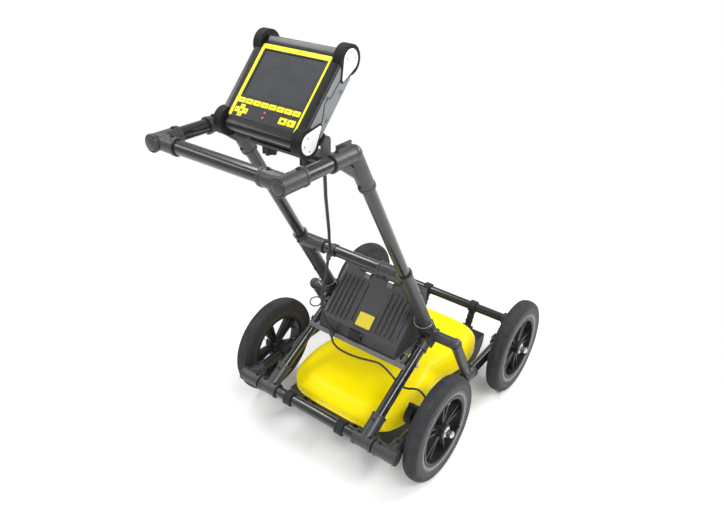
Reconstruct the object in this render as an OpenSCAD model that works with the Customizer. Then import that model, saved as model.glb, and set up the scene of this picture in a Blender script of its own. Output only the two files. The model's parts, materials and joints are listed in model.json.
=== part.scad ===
// Ground penetrating radar cart: a four-wheeled push cart with a radar sensor slung between
// the wheels, a battery case between the legs and a tilting display at the handle.
// Millimetres, +X right, +Y forward, +Z up. Pieces are drawn with Y measured from midway
// between the axles on the ground, and placed() then centres the cart over the origin.

/* [Wheels] */
// Diameter over the tyre tread
tyre_d = 305; // [285:1:320]
// Width of the tyre
tyre_w = 46; // [40:1:50]
// Diameter of the rim where the tyre seats
rim_d = 206; // [180:1:230]
// Distance between the front and rear axles
wheelbase = 460; // [430:5:480]
// Distance between the left and right wheel mid-planes
track = 598; // [590:2:680]
// Diameter of the axle pins
axle_d = 12; // [8:0.5:14]
// Diameter of the wheel hub
hub_d = 40; // [30:1:56]
// Number of double spokes in a rim
spoke_count = 5; // [3:1:7]

/* [Chassis] */
// Outside diameter of every frame tube
tube_d = 30; // [26:0.5:31]
// Wall of the frame tubes
tube_wall = 2; // [1.5:0.1:4]
// Wall of the moulded fittings round a tube
sleeve_wall = 5; // [3:0.25:6]
// Distance from the back of the sensor's shell to the rear cross tube
rear_room = 77; // [72:1:90]
// Distance from the front of the sensor's shell to the front cross tube
front_room = 92; // [88:1:100]
// Distance from a side rail to its wheels' mid-plane
wheel_offset = 47; // [46:1:54]
// Distance from the side of the battery case to the middle of a brace or leg
side_room = 36; // [33:1:40]
// Distance of the fold pivots behind the middle of the axles
apex_back = 88; // [80:1:96]
// Height of the fold pivots
apex_z = 325; // [315:1:340]

/* [Handle] */
// Angle that the legs lean back from upright
leg_lean = 30; // [28:0.5:32]
// Length of a leg from the fold pivot to the top corner
leg_len = 741; // [700:1:780]
// Distance of the leg cross tube up the legs from the fold pivot
cross_at = 289; // [283:1:330]
// Distance from the top corner back to the handlebar
arm_len = 191; // [170:1:240]
// Diameter of the fold pivot pins
fold_pin_d = 10; // [6:0.5:14]
// Diameter of the wire-lock pins
lock_pin_d = 8; // [5:0.5:9]

/* [Display] */
// Width of the display case
display_w = 222; // [214:1:232]
// Height of the display case along its face
display_h = 203; // [196:1:210]
// Depth of the display case
display_t = 46; // [40:1:56]
// Angle of the display's face from level
display_tilt = 47; // [40:1:55]
// Width of the screen window
screen_w = 160; // [120:1:164]
// Height of the screen window
screen_h = 104; // [80:1:108]
// Travel of the keys
key_travel = 0.6; // [0.3:0.1:1]

/* [Battery case] */
// Width of the battery case
case_w = 266; // [220:1:268]
// Depth of the battery case along its floor
case_d = 148; // [140:1:156]
// Height of the case's rear wall
case_rear_h = 42; // [38:1:48]
// Length of the sloping lid
lid_len = 168; // [160:1:172]
// Angle of the lid from level
lid_slope = 44.5; // [43:0.5:46]
// Thickness of the lid
lid_t = 16; // [14:0.5:18]
// Wall of the case
case_wall = 3; // [2:0.25:5]

/* [Sensor] */
// Width of the sensor's shell
shell_w = 392; // [388:2:398]
// Length of the sensor's shell
shell_len = 568; // [540:2:590]
// Height of the shell's dome above its upright wall
dome_h = 44; // [36:1:60]
// Width of the sled below the shell
sled_w = 332; // [280:2:340]
// Gap between the sled and the ground
ground_gap = 14; // [8:1:24]
// Height of the sled
sled_h = 84; // [78:1:92]

/* [Hidden] */
$fn = 48;
// Clearances and overruns
fit_clear = 0.05;
run_clear = 0.08;
seat_clear = 0.2;
move_clear = 0.4;
overrun = 1;
// Wheel details
wheel_r = tyre_d / 2;
axle_z = wheel_r;
rim_r = rim_d / 2;
tyre_corner_share = 0.37;
tyre_corner_r = tyre_w * tyre_corner_share;
tyre_belly_share = 0.5;
tyre_seat_step = 8;
tyre_seat_w = tyre_w - tyre_seat_step;
groove_w = 3;
groove_deep = 2.5;
groove_share = 0.17;
rim_ring_t = 10;
rim_ring_w = tyre_seat_w;
hub_len = tyre_w;
spoke_web_t = 8;
spoke_ridge_w = 7;
spoke_ridge_t = 20;
spoke_spread = 11;
spoke_root_share = 0.5;
spoke_ridge_share = 0.8;
spoke_turns = [50, 26, 36, 10];
pin_head_d = 20;
pin_head_len = 20;
pin_head_round = 4;
pin_washer_d = 30;
pin_washer_t = 2;
pin_end_d = 18;
pin_end_t = 4;
pin_end_gap = 2;
// Chassis details
sleeve_d = tube_d + 2 * sleeve_wall;
socket_gap = 4;
mouth_step = 3;
mouth_d = sleeve_d + mouth_step;
grip_wall = 3;
grip_sleeve_d = tube_d + 2 * grip_wall;
grip_mouth_step = 2.5;
grip_mouth_d = grip_sleeve_d + grip_mouth_step;
mouth_len = 6;
rail_x = track / 2 - wheel_offset;
brace_x = case_w / 2 + side_room;
shell_mid_y = -28;
rear_y = shell_mid_y - shell_len / 2 - rear_room;
front_y = shell_mid_y + shell_len / 2 + front_room;
tube_inset = tube_d / 2 + socket_gap;
corner_sleeve = 46;
corner_cap = 22;
cap_rim_step = 2;
cap_rim_d = sleeve_d + cap_rim_step;
cap_rim_t = 5;
tee_half = 30;
tee_branch = 76;
block_half = 30;
block_d = sleeve_d + cap_rim_step;
block_boss_d = 30;
block_boss_in = 22;
hub_face_x = track / 2 - hub_len / 2;
block_boss_out = hub_face_x - move_clear - rail_x;
// Apex, where brace, leg and lower leg meet
apex_y = -apex_back;
brace_run = apex_y - rear_y;
brace_rise = apex_z - axle_z;
brace_angle = atan2(brace_rise, brace_run);
brace_len = norm([brace_run, brace_rise]);
tongue_half = 11;
tongue_r = 20;
cheek_t = 8;
cheek_r = 22;
cheek_in = tongue_half + move_clear;
cheek_out = cheek_in + cheek_t;
socket_start = 26;
socket_len = 30;
brace_stop = 34;
lock_at = 34;
horn_len = 44;
horn_w = 18;
horn_round = 8;
link_d = 32;
elbow_d = 36;
lower_leg_d = 30;
lower_leg_len = brace_rise / cos(leg_lean);
foot_y = apex_y + lower_leg_len * sin(leg_lean);
saddle_half = 28;
fold_head_d = 18;
fold_head_t = 5;
fold_pin_in = cheek_out;
fold_pin_grip = 8;
fold_pin_out = cheek_out + fold_pin_grip;
// Handle details
leg_sleeve_wall = 4;
leg_sleeve_d = tube_d + 2 * leg_sleeve_wall;
leg_sleeve_start = 50;
leg_sleeve_top = 24;
leg_tube_start = 130;
tee_reach = 80;
top_leg_sleeve = 100;
top_arm_sleeve = 70;
gusset_t = 12;
gusset_arm_share = 0.96;
gusset_leg_share = 0.95;
gusset_recess = 3;
gusset_recess_share = 0.62;
corner_stop = 24;
corner_ball_step = 2;
corner_ball_d = grip_sleeve_d + corner_ball_step;
pad_d = 30;
pad_len = 26;
corner_y = apex_y - leg_len * sin(leg_lean);
corner_z = apex_z + leg_len * cos(leg_lean);
bar_y = corner_y - arm_len;
elbow_arm = 46;
elbow_bar = 56;
elbow_cap = 20;
lock_pin_half = 25;
lock_head_d = 14;
lock_head_t = 4;
bail_wire_d = 3;
bail_rise = 46;
bail_r = lock_pin_half + lock_head_t / 2;
bail_ball_step = 0.8;
bail_ball_d = bail_wire_d + bail_ball_step;
// Display mount details
pivot_ahead = 3.5;
pivot_up = 7.5;
pivot_y = corner_y + pivot_ahead;
pivot_z = corner_z + pivot_up;
pivot_gap = 38;
pivot_d = 10;
lug_r = 12;
lug_t = 9.8;
mount_w = 186.8;
lug_x = mount_w / 2;
ear_t = 7.4;
ear_x = lug_x + move_clear;
face_up = 55;
face_out = display_t + pivot_gap;
yoke_drop = 36;
yoke_t = 6;
yoke_back = 14;
yoke_ahead = 22;
shelf_t = 6;
shelf_back = 20;
shelf_ahead = 26;
shelf_flange_t = 4;
shelf_flange_up = 14;
shelf_rib_t = 4;
shelf_rib_drop = 12;
knob_x = 53;
knob_back = 4;
knob_stud_d = 8;
knob_r = 12;
knob_lobe_r = 5;
knob_lobes = 5;
knob_h = 18;
socket_d = 12;
// Display case details
case_up = 2;
display_corner_r = 16;
bumper_r = 30;
bumper_in = 16;
bumper_plate = 5;
bumper_reach = 9.5;
bumper_deep = 20;
tail_in = 47;
tail_deep = 6.5;
tail_end = 3;
seam_deep = 20;
panel_w = 182;
panel_h = 167;
panel_r = 6;
panel_t = 2.2;
panel_proud = 0.4;
screen_up = 18.5;
glass_t = 2;
glass_margin = 3;
key_w = 18.6;
key_h = 11;
key_r = 1.5;
key_rows_up = -46.5;
key_pitch = 20.85;
key_count = 8;
key_proud = 1.2;
key_gap = 0.25;
action_w = 19;
action_h = 14;
action_x = [50, 71.5];
action_up = -68;
nav_w = 34;
nav_h = 26;
nav_arm = 11.5;
nav_x = -62;
nav_up = -68;
lamp_d = 5;
lamp_x = -1.5;
lamp_ups = [-61, -72];
lamp_proud = 0.6;
vent_count = 6;
vent_w = 60;
vent_h = 4;
vent_pitch = 12;
vent_deep = 3;
// Battery case and tray details
tray_lip_t = 4;
tray_lip_h = 15;
tray_t = 3;
tray_side_gap = 2.5;
tray_ear_t = 3;
tray_floor_up = 13;
tray_bolt_d = 8;
tray_knob_d = 30;
tray_knob_t = 9;
tray_bolt_back = 90;
tray_ear_r = 17;
tray_front_margin = 4;
case_behind_apex = 120;
case_rear_y = apex_y - case_behind_apex;
tray_lip_gap = 2;
tray_lip_y = case_rear_y - tray_lip_gap;
function brace_top(y) = axle_z + (y - rear_y) * tan(brace_angle) + tube_d / 2 / cos(brace_angle);
function brace_axis_z(y) = axle_z + (y - rear_y) * tan(brace_angle);
lip_z = brace_top(tray_lip_y) + seat_clear;
tray_z = lip_z + tray_floor_up;
tray_bolt_y = apex_y - tray_bolt_back;
tray_bolt_z = brace_axis_z(tray_bolt_y);
tray_ear_gap = 5;
tray_ear_x = brace_x - tube_d / 2 - tray_ear_gap;
case_front_y = case_rear_y + case_d;
lid_edge_z = tray_z + case_rear_h;
lid_top_z = lid_edge_z + lid_len * sin(lid_slope);
lid_gap = 0.4;
lid_chamfer = 12;
lid_chamfer_angle = 45;
chamfer_reach = 3;
lid_wall = 3;
lid_inset = 8;
rib_w = 6;
rib_h = 5;
rib_xs_shares = [0.4, 0.52, 0.64, 0.76, 0.87];
rib_start = 14;
rib_end = 26;
hinge_r = 5;
hinge_pin_d = 4;
hinge_span = 150;
hinge_parts = 5;
hinge_part_gap = 0.5;
latch_w = 40;
latch_len = 27;
latch_t = 3;
latch_r = 3.5;
latch_pin_d = 3;
latch_out = 5;
latch_drop = 6;
latch_ear_w = 5;
strike_h = 5;
boss_d = 12;
boss_neck_w = 8;
boss_h = 13;
boss_up = 4.5;
boss_x_share = 0.54;
boss_x = -boss_x_share * case_w / 2;
boss_back = 20;
boss_y = case_rear_y - boss_back;
boss_z = tray_z + boss_up;
battery_w = 151;
battery_d = 65;
battery_h = 88;
battery_gap = 0.3;
terminal_d = 9;
terminal_h = 4;
terminal_x_share = 0.33;
terminal_y_share = 0.25;
// Sensor details
rim_z = ground_gap + sled_h;
rim_h = 24;
dome_inset = 42;
shell_power = 5;
ring_points = 40;
ring_steps = 9;
front_drop_share = 0.1;
rear_drop_share = 0.35;
waist_in = 26;
waist_y = 8;
waist_span = 75;
cavity_side = 60;
cavity_end = 70;
cavity_h = 44;
sled_r = 70;
sled_rear_in = 4;
sled_front_out = 44;
sled_back = shell_len / 2 - sled_rear_in;
sled_ahead = shell_len / 2 + sled_front_out;
sled_wall = 12;
sled_floor = 14;
hook_out = 18;
hook_ys = [shell_mid_y - sled_back - hook_out, shell_mid_y + sled_ahead + hook_out];
hook_z = 84;
hook_bar_d = 8;
hook_ear_t = 5;
hook_ear_w = 26;
strap_x = 92;
strap_w = 24;
strap_t = 4;
strap_ring_t = 6;
strap_eye_t = 3.5;
board_w = 250;
board_d = 150;
board_t = 3;
board_gap = 40;
can_w = 90;
can_h = 18;
// Odometer details
odo_x = 203;
odo_d = 56;
odo_wall = 4;
odo_disc_d = 44;
odo_disc_t = 3;
odo_neck = 7;
odo_disc_gap = 2;
odo_slot_count = 12;
odo_slot_d = 3;
odo_slot_r = 17;
// Leads, routed by hand from socket to socket
lead_d = 8;
odo_lead_d = 6;
lead_sides = 8;
lead_steps = 4;
socket_x = 90;
socket_ahead = 6;
socket_drop = 14;
lead_socket = [socket_x, pivot_y + socket_ahead, pivot_z - yoke_drop - shelf_t - socket_drop];
lead_clip_x = -58;
lead_clip_back = 26;
lead_clip_drop = 8;
lead_clip = [
    lead_clip_x, apex_y - cross_at * sin(leg_lean) - lead_clip_back,
    apex_z + cross_at * cos(leg_lean) - lead_clip_drop
];
// Display lead: shares of the way from the shelf's socket to the clip on the cross tube, then an arc
// that clears the lid's swing, then down into the case's boss
upper_shares = [
    [0, 0, 0.023], [0.008, 0.008, 0.06], [0.033, 0.033, 0.096], [0.1, 0.1, 0.16], [0.21, 0.21, 0.26],
    [0.34, 0.35, 0.385], [0.49, 0.51, 0.52], [0.63, 0.66, 0.65], [0.78, 0.81, 0.78], [0.91, 0.94, 0.9],
    [1, 1, 1]
];
lid_hinge = [case_rear_y + lid_len * cos(lid_slope), lid_edge_z + lid_len * sin(lid_slope)];
lid_sweep = norm(lid_hinge - [case_rear_y, lid_edge_z - lid_t / cos(lid_slope)]);
lead_room = 4;
arc_r = lid_sweep + lead_room + lead_d / 2;
arc_shares = [[160, 0.1], [171, 0.2], [182, 0.35], [193, 0.5], [203, 0.65], [212, 0.85]];
lead_end_gap = 0.4;
boss_top = [boss_x, boss_y, boss_z + boss_h + lead_end_gap];
boss_bend_share = 4.25;
boss_bend_r = boss_bend_share * lead_d;
boss_rise_shares = [0.6, 0.3, 0];
function boss_lean(h) = boss_bend_r - sqrt(pow(boss_bend_r, 2) - pow(h, 2));
function shared(a, b, s) = [for (k = [0 : 2]) a[k] + (b[k] - a[k]) * s[k]];
display_route = concat(
    [lead_socket - [0, 0, lead_end_gap]],
    [for (s = upper_shares) shared(lead_socket, lead_clip, s)],
    [for (s = arc_shares) [lead_clip_x + (boss_x - lead_clip_x) * s[1],
        lid_hinge[0] + arc_r * cos(s[0]), lid_hinge[1] + arc_r * sin(s[0])]],
    [for (s = boss_rise_shares) boss_top + [0, -boss_lean(s * boss_bend_r), s * boss_bend_r]]
);
// Odometer lead: a hanging loop from the boss, along behind the tray's lip, under the brace, and over
// into the odometer's boss
odo_boss_inset = 13;
odo_boss_up = 31;
odo_boss_x = rail_x - block_boss_in - odo_neck - odo_boss_inset;
odo_boss_z = axle_z + odo_boss_up;
boss_low = [boss_x, boss_y, boss_z - lead_end_gap];
loop_w = 42;
loop_drop = 46;
lip_off = 12;
lip_run_in = 80;
lip_run_drop = 22;
under_out = 3;
loop_end = [boss_x + loop_w, tray_lip_y - lip_off, boss_z - loop_drop];
loop_shares = [[0, 0, 0.2], [0.134, 0.15, 0.6], [0.5, 0.6, 0.893], [1, 1, 1]];
lip_run = [brace_x - lip_run_in, tray_lip_y - lip_off, tray_z - lip_run_drop];
lip_shares = [[0.23, 0, 0.05], [0.48, 0, 0.3], [0.75, 0, 0.7], [1, 1, 1]];
under_gap = 8;
under_y = tray_lip_y - lip_off;
under_brace = [
    brace_x + under_out, under_y,
    brace_axis_z(under_y) - tube_d / 2 / cos(brace_angle) - under_gap
];
under_shares = [[0.28, 1, 0.14], [0.55, 1, 0.47], [0.78, 1, 0.8], [1, 1, 1]];
rise_shares = [[0.36, 0.2, 0.19], [0.68, 0.5, 0.7]];
hook_r_share = 4.7;
hook_r = hook_r_share * odo_lead_d;
hook_lead_in = 14;
hook_angles = [90, 54, 18, -18, -54, -90];
hook_mid = [odo_boss_x + hook_lead_in, odo_boss_z + hook_r];
hook_y_share = 0.15;
function hook_y(a) = under_y
    - (wheelbase / 2 + under_y) * (hook_y_share + (1 - hook_y_share) * (90 - a) / 180);
function hook_point(a) = [hook_mid[0] + hook_r * cos(a), hook_y(a), hook_mid[1] + hook_r * sin(a)];
odometer_route = concat(
    [boss_low],
    [for (s = loop_shares) shared(boss_low, loop_end, s)],
    [for (s = lip_shares) shared(loop_end, lip_run, s)],
    [for (s = under_shares) shared(lip_run, under_brace, s)],
    [for (s = rise_shares) shared(under_brace, hook_point(90), s)],
    [for (a = hook_angles) hook_point(a)],
    [[odo_boss_x + lead_end_gap, -wheelbase / 2, odo_boss_z]]
);
// Centring of the whole cart fore and aft
cart_front_y = wheelbase / 2 + wheel_r;
cart_back_y = bar_y - elbow_cap;
shift_y = -(cart_front_y + cart_back_y) / 2;

// Finishes
tube_black = [0.06, 0.06, 0.065];
fitting_black = [0.16, 0.16, 0.17];
rubber_grey = [0.3, 0.31, 0.33];
steel = [0.75, 0.76, 0.78];
case_grey = [0.24, 0.24, 0.25];
tray_grey = [0.66, 0.68, 0.68];
yellow = [0.98, 0.88, 0.02];
glass_dark = [0.2, 0.22, 0.24];
board_green = [0.1, 0.35, 0.18];

// Helpers

// Moves a piece from the mid-axle datum to the cart's centred origin
module placed() translate([0, shift_y, 0]) children();

// A piece and its mirror image on the other side
module both() {
    children();
    mirror([1, 0, 0]) children();
}

// A cylinder along X from x0 to x1
module rod_x(d, x0, x1) translate([x0, 0, 0]) rotate([0, 90, 0]) cylinder(d = d, h = x1 - x0);

// A cylinder along Y from y0 to y1
module rod_y(d, y0, y1) translate([0, y0, 0]) rotate([-90, 0, 0]) cylinder(d = d, h = y1 - y0);

// The brace's own frame: origin at the apex, Z running back and down the brace
module brace_frame() translate([brace_x, apex_y, apex_z]) rotate([90 + brace_angle, 0, 0]) children();

// The leg's own frame: origin at the apex, Z running up the leg
module leg_frame() translate([brace_x, apex_y, apex_z]) rotate([leg_lean, 0, 0]) children();

// A flat outline in the leg's frame, first axis up the leg and second to its rear, extruded in X
module leg_plate(x0, x1) translate([x0, 0, 0]) rotate([0, -90, 180]) linear_extrude(x1 - x0) children();

// A rectangle with round corners, about its centre
module round_rect(w, h, r) {
    square([w - 2 * r, h], center = true);
    square([w, h - 2 * r], center = true);
    for (sx = [-1, 1], sy = [-1, 1]) translate([sx * (w / 2 - r), sy * (h / 2 - r)]) circle(r);
}

// The display's own frame: origin at the tilt pivot, X right, Y up the face, Z out of the face
module display_frame() translate([0, pivot_y, pivot_z]) rotate([display_tilt, 0, 0]) children();

// The middle of the display's face, in the display's frame
module face_frame() display_frame() translate([0, face_up, face_out]) children();

// Functions that sweep a round lead along a route
function unit(v) = v / norm(v);
function spline(a, b, c, d, t) =
    0.5 * (2 * b + (c - a) * t + (2 * a - 5 * b + 4 * c - d) * t * t + (3 * b - a - 3 * c + d) * t * t * t);
function route_at(r, i) = r[max(0, min(len(r) - 1, i))];
function smooth_route(r) = [
    for (i = [0 : len(r) - 2], k = [0 : lead_steps - 1])
        spline(route_at(r, i - 1), r[i], r[i + 1], route_at(r, i + 2), k / lead_steps),
    r[len(r) - 1]
];
function heading(p, i) = unit(p[min(i + 1, len(p) - 1)] - p[max(i - 1, 0)]);
function lead_ring(p, i, r, side) =
    let (t = heading(p, i), u = unit(cross(t, side)), v = cross(t, u))
    [for (k = [0 : lead_sides - 1]) let (a = 360 * k / lead_sides) p[i] + r * (cos(a) * u + sin(a) * v)];
function tube_faces(rings, n) = concat(
    [[for (k = [n - 1 : -1 : 0]) k]],
    [for (i = [0 : rings - 2], k = [0 : n - 1], f = [0, 1]) let (a = i * n + k, b = i * n + (k + 1) % n)
        f == 0 ? [a, b, b + n] : [a, b + n, a + n]],
    [[for (k = [0 : n - 1]) (rings - 1) * n + k]]
);
module lead(route, d, side) {
    p = smooth_route(route);
    points = [for (i = [0 : len(p) - 1]) each lead_ring(p, i, d / 2, side)];
    polyhedron(points, tube_faces(len(p), lead_sides), convexity = 4);
}

// Chassis

module frame_tube(half) difference() {
    rod_x(tube_d, -half, half);
    rod_x(tube_d - 2 * tube_wall, -half - overrun, half + overrun);
}

module cross_tubes() color(tube_black)
    for (y = [rear_y, front_y]) translate([0, y, axle_z]) frame_tube(rail_x - tube_inset);

module side_rails() color(tube_black) both() translate([rail_x, 0, axle_z]) difference() {
    rod_y(tube_d, rear_y + tube_inset, front_y - tube_inset);
    rod_y(tube_d - 2 * tube_wall, rear_y, front_y);
    for (y = [-wheelbase / 2, wheelbase / 2]) translate([0, y, 0])
        rod_x(axle_d + 2 * run_clear, -tube_d, tube_d);
}

// Elbow with its corner at the origin, one sleeve inboard along the cross tube and one along the rail
module corner_fitting() difference() {
    union() {
        rod_x(sleeve_d, -corner_sleeve, corner_cap);
        rod_x(mouth_d, -corner_sleeve, -corner_sleeve + mouth_len);
        rod_x(cap_rim_d, corner_cap - cap_rim_t - overrun, corner_cap - overrun);
        rod_y(sleeve_d, 0, corner_sleeve);
        rod_y(mouth_d, corner_sleeve - mouth_len, corner_sleeve);
    }
    rod_x(tube_d + 2 * fit_clear, -corner_sleeve - overrun, -tube_inset + seat_clear);
    rod_y(tube_d + 2 * fit_clear, tube_inset - seat_clear, corner_sleeve + overrun);
}

module corner_fittings() color(fitting_black) both() {
    translate([rail_x, rear_y, axle_z]) corner_fitting();
    translate([rail_x, front_y, axle_z]) mirror([0, 1, 0]) corner_fitting();
}

module rear_tees() color(fitting_black) both() difference() {
    union() {
        translate([brace_x, rear_y, axle_z]) {
            rod_x(sleeve_d, -tee_half, tee_half);
            for (s = [-1, 1]) translate([s * (tee_half - mouth_len / 2), 0, 0])
                rod_x(mouth_d, -mouth_len / 2, mouth_len / 2);
        }
        brace_frame() translate([0, 0, brace_len - tee_branch]) {
            cylinder(d = sleeve_d, h = tee_branch);
            cylinder(d = mouth_d, h = mouth_len);
        }
    }
    translate([brace_x, rear_y, axle_z]) rod_x(tube_d + 2 * fit_clear, -sleeve_d, sleeve_d);
    brace_frame() translate([0, 0, brace_len - tee_branch - overrun])
        cylinder(d = tube_d + 2 * fit_clear, h = tee_branch + overrun - tube_inset + seat_clear);
}

module braces() color(tube_black) both() difference() {
    brace_frame() translate([0, 0, brace_stop]) difference() {
        cylinder(d = tube_d, h = brace_len - brace_stop - tube_inset);
        translate([0, 0, -overrun]) cylinder(d = tube_d - 2 * tube_wall, h = brace_len);
    }
    translate([brace_x, tray_bolt_y, tray_bolt_z]) rod_x(tray_bolt_d + 2 * fit_clear, -tube_d, tube_d);
}

// Cheek outline in the leg's plane: round the pivot, back to the brace socket, with a stop horn
module cheek_outline() difference() {
    union() {
        circle(cheek_r);
        translate([-tongue_r, 0]) square([2 * tongue_r, socket_start + mouth_len]);
        square([horn_len - horn_round, horn_w]);
        square([horn_len, horn_w - horn_round]);
        translate([horn_len - horn_round, horn_w - horn_round]) circle(horn_round);
    }
    translate([lock_at, 0]) circle(d = lock_pin_d + 2 * move_clear);
}

module knuckle() difference() {
    union() {
        leg_frame() {
            leg_plate(-cheek_out, -cheek_in) cheek_outline();
            leg_plate(cheek_in, cheek_out) cheek_outline();
        }
        brace_frame() translate([0, 0, socket_start]) {
            cylinder(d = grip_sleeve_d, h = socket_len);
            translate([0, 0, socket_len - mouth_len]) cylinder(d = grip_mouth_d, h = mouth_len);
        }
        translate([0, apex_y, apex_z]) rod_x(link_d, brace_x + cheek_in + cheek_t / 2, rail_x);
        translate([rail_x, apex_y, apex_z]) {
            sphere(d = elbow_d);
            rotate([180 + leg_lean, 0, 0]) cylinder(d = lower_leg_d, h = lower_leg_len);
        }
        translate([rail_x, foot_y, axle_z]) {
            rod_y(sleeve_d, -saddle_half, saddle_half);
            rod_y(mouth_d, -saddle_half, -saddle_half + mouth_len);
            rod_y(mouth_d, saddle_half - mouth_len, saddle_half);
        }
    }
    brace_frame() translate([0, 0, brace_stop - seat_clear])
        cylinder(d = tube_d + 2 * fit_clear, h = brace_len);
    translate([rail_x, foot_y, axle_z]) rod_y(tube_d + 2 * fit_clear, -sleeve_d, sleeve_d);
    translate([brace_x, apex_y, apex_z])
        rod_x(fold_pin_d + 2 * fit_clear, -cheek_out - overrun, fold_pin_out);
}

module knuckles() color(fitting_black) both() knuckle();

// Clamp round the rail with an axle boss on each side
module axle_block() difference() {
    union() {
        rod_y(block_d, -block_half, block_half);
        rod_x(block_boss_d, -block_boss_in, block_boss_out);
    }
    rod_y(tube_d + 2 * fit_clear, -block_half - overrun, block_half + overrun);
    rod_x(axle_d + 2 * run_clear, -sleeve_d, sleeve_d);
}

module axle_blocks() color(fitting_black) both()
    for (y = [-wheelbase / 2, wheelbase / 2]) translate([rail_x, y, axle_z]) axle_block();

// Headed axle from the inboard clip to the outboard head, along X
module axle_body(x0) {
    head_x = track / 2 + hub_len / 2 + move_clear;
    rod_x(axle_d, x0, head_x + pin_washer_t);
    rod_x(pin_washer_d, head_x, head_x + pin_washer_t);
    rod_x(pin_head_d, head_x + pin_washer_t, head_x + pin_washer_t + pin_head_len - pin_head_round);
    translate([head_x + pin_washer_t + pin_head_len - pin_head_round, 0, 0]) rotate([0, 90, 0])
        cylinder(d1 = pin_head_d, d2 = pin_head_d - 2 * pin_head_round, h = pin_head_round);
}

// Quick-release pin held in the block by a clip at its inboard end
module axle_pin() {
    end_x = rail_x - block_boss_in - pin_end_gap;
    axle_body(end_x);
    rod_x(pin_end_d, end_x - pin_end_t, end_x + pin_end_gap - move_clear);
}

module axle_pins() color(steel) {
    for (y = [-wheelbase / 2, wheelbase / 2]) mirror([1, 0, 0]) translate([0, y, axle_z]) axle_pin();
    translate([0, wheelbase / 2, axle_z]) axle_pin();
}

module fold_pins() color(steel) both() translate([brace_x, apex_y, apex_z]) {
    rod_x(fold_pin_d, -fold_pin_in - fold_head_t, fold_pin_out - seat_clear);
    rod_x(fold_head_d, -fold_pin_in - fold_head_t - seat_clear, -fold_pin_in - seat_clear);
}

// Odometer

module odometer_housing() color(fitting_black) {
    face_x = rail_x - block_boss_in;
    translate([0, -wheelbase / 2, axle_z]) difference() {
        union() {
            rod_x(odo_d, odo_x, face_x - odo_neck);
            rod_x(block_boss_d, face_x - odo_neck - overrun, face_x);
            translate([0, 0, odo_boss_up]) rod_x(boss_d, odo_x, odo_boss_x);
        }
        rod_x(odo_d - 2 * odo_wall, odo_x + odo_wall, face_x - odo_neck - odo_wall);
        rod_x(axle_d + 2 * move_clear, odo_x + odo_wall, face_x + overrun);
    }
}

// Live axle of the rear right wheel with the slotted encoder disc inside the odometer
module odometer_shaft() color(steel) {
    disc_x = odo_x + odo_wall + odo_disc_gap;
    translate([0, -wheelbase / 2, axle_z]) difference() {
        union() {
            axle_body(disc_x);
            rod_x(odo_disc_d, disc_x + overrun, disc_x + overrun + odo_disc_t);
        }
        for (k = [0 : odo_slot_count - 1]) rotate([360 * k / odo_slot_count, 0, 0])
            translate([0, 0, odo_slot_r])
            rod_x(odo_slot_d, disc_x, disc_x + odo_disc_t + 2 * overrun);
    }
}

module odometer_cable() color(tube_black) lead(odometer_route, odo_lead_d, [0, 1, 0]);

// Wheels, drawn about Z with the outboard face up

module tyre_profile() difference() {
    union() {
        translate([rim_r + fit_clear, -tyre_seat_w / 2])
            square([wheel_r - rim_r - tyre_corner_r, tyre_seat_w]);
        translate([rim_r + tyre_corner_r * tyre_belly_share, -tyre_w / 2])
            square([wheel_r - rim_r - tyre_corner_r * (1 + tyre_belly_share), tyre_w]);
        translate([wheel_r - tyre_corner_r - overrun, -tyre_w / 2 + tyre_corner_r])
            square([tyre_corner_r + overrun, tyre_w - 2 * tyre_corner_r]);
        for (s = [-1, 1]) translate([wheel_r - tyre_corner_r, s * (tyre_w / 2 - tyre_corner_r)])
            circle(tyre_corner_r);
    }
    for (s = [-1, 1]) translate([wheel_r - groove_deep, s * groove_share * tyre_w - groove_w / 2])
        square([groove_deep + overrun, groove_w]);
}

module tyre() color(rubber_grey) rotate_extrude($fn = 96) tyre_profile();

module rim(turn) color(fitting_black) difference() {
    union() {
        rotate_extrude($fn = 96) translate([rim_r - rim_ring_t, -rim_ring_w / 2])
            square([rim_ring_t, rim_ring_w]);
        translate([0, 0, -hub_len / 2]) cylinder(d = hub_d, h = hub_len);
        for (k = [0 : spoke_count - 1]) rotate([0, 0, turn + 360 * k / spoke_count]) spoke();
    }
    translate([0, 0, -hub_len]) cylinder(d = axle_d + 2 * run_clear, h = 2 * hub_len);
}

// Double spoke along X: a web with a raised ridge down each side
module spoke() {
    reach = rim_r - rim_ring_t / 2;
    root = hub_d / 2 * spoke_root_share;
    tip = reach * tan(spoke_spread);
    translate([0, 0, -spoke_web_t / 2]) linear_extrude(spoke_web_t)
        polygon([[0, -root], [reach, -tip], [reach, tip], [0, root]]);
    for (s = [-1, 1]) rotate([0, 0, s * spoke_spread * spoke_ridge_share])
        translate([0, -spoke_ridge_w / 2, -spoke_ridge_t / 2])
        cube([reach, spoke_ridge_w, spoke_ridge_t]);
}

module at_wheel(side, y) translate([side * track / 2, y, axle_z]) rotate([0, side * 90, 0]) children();

// Handle

module leg_tubes() color(tube_black) both() leg_frame() difference() {
    translate([0, 0, leg_tube_start]) cylinder(d = tube_d, h = leg_len - corner_stop - leg_tube_start);
    cylinder(d = tube_d - 2 * tube_wall, h = leg_len);
}

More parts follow.
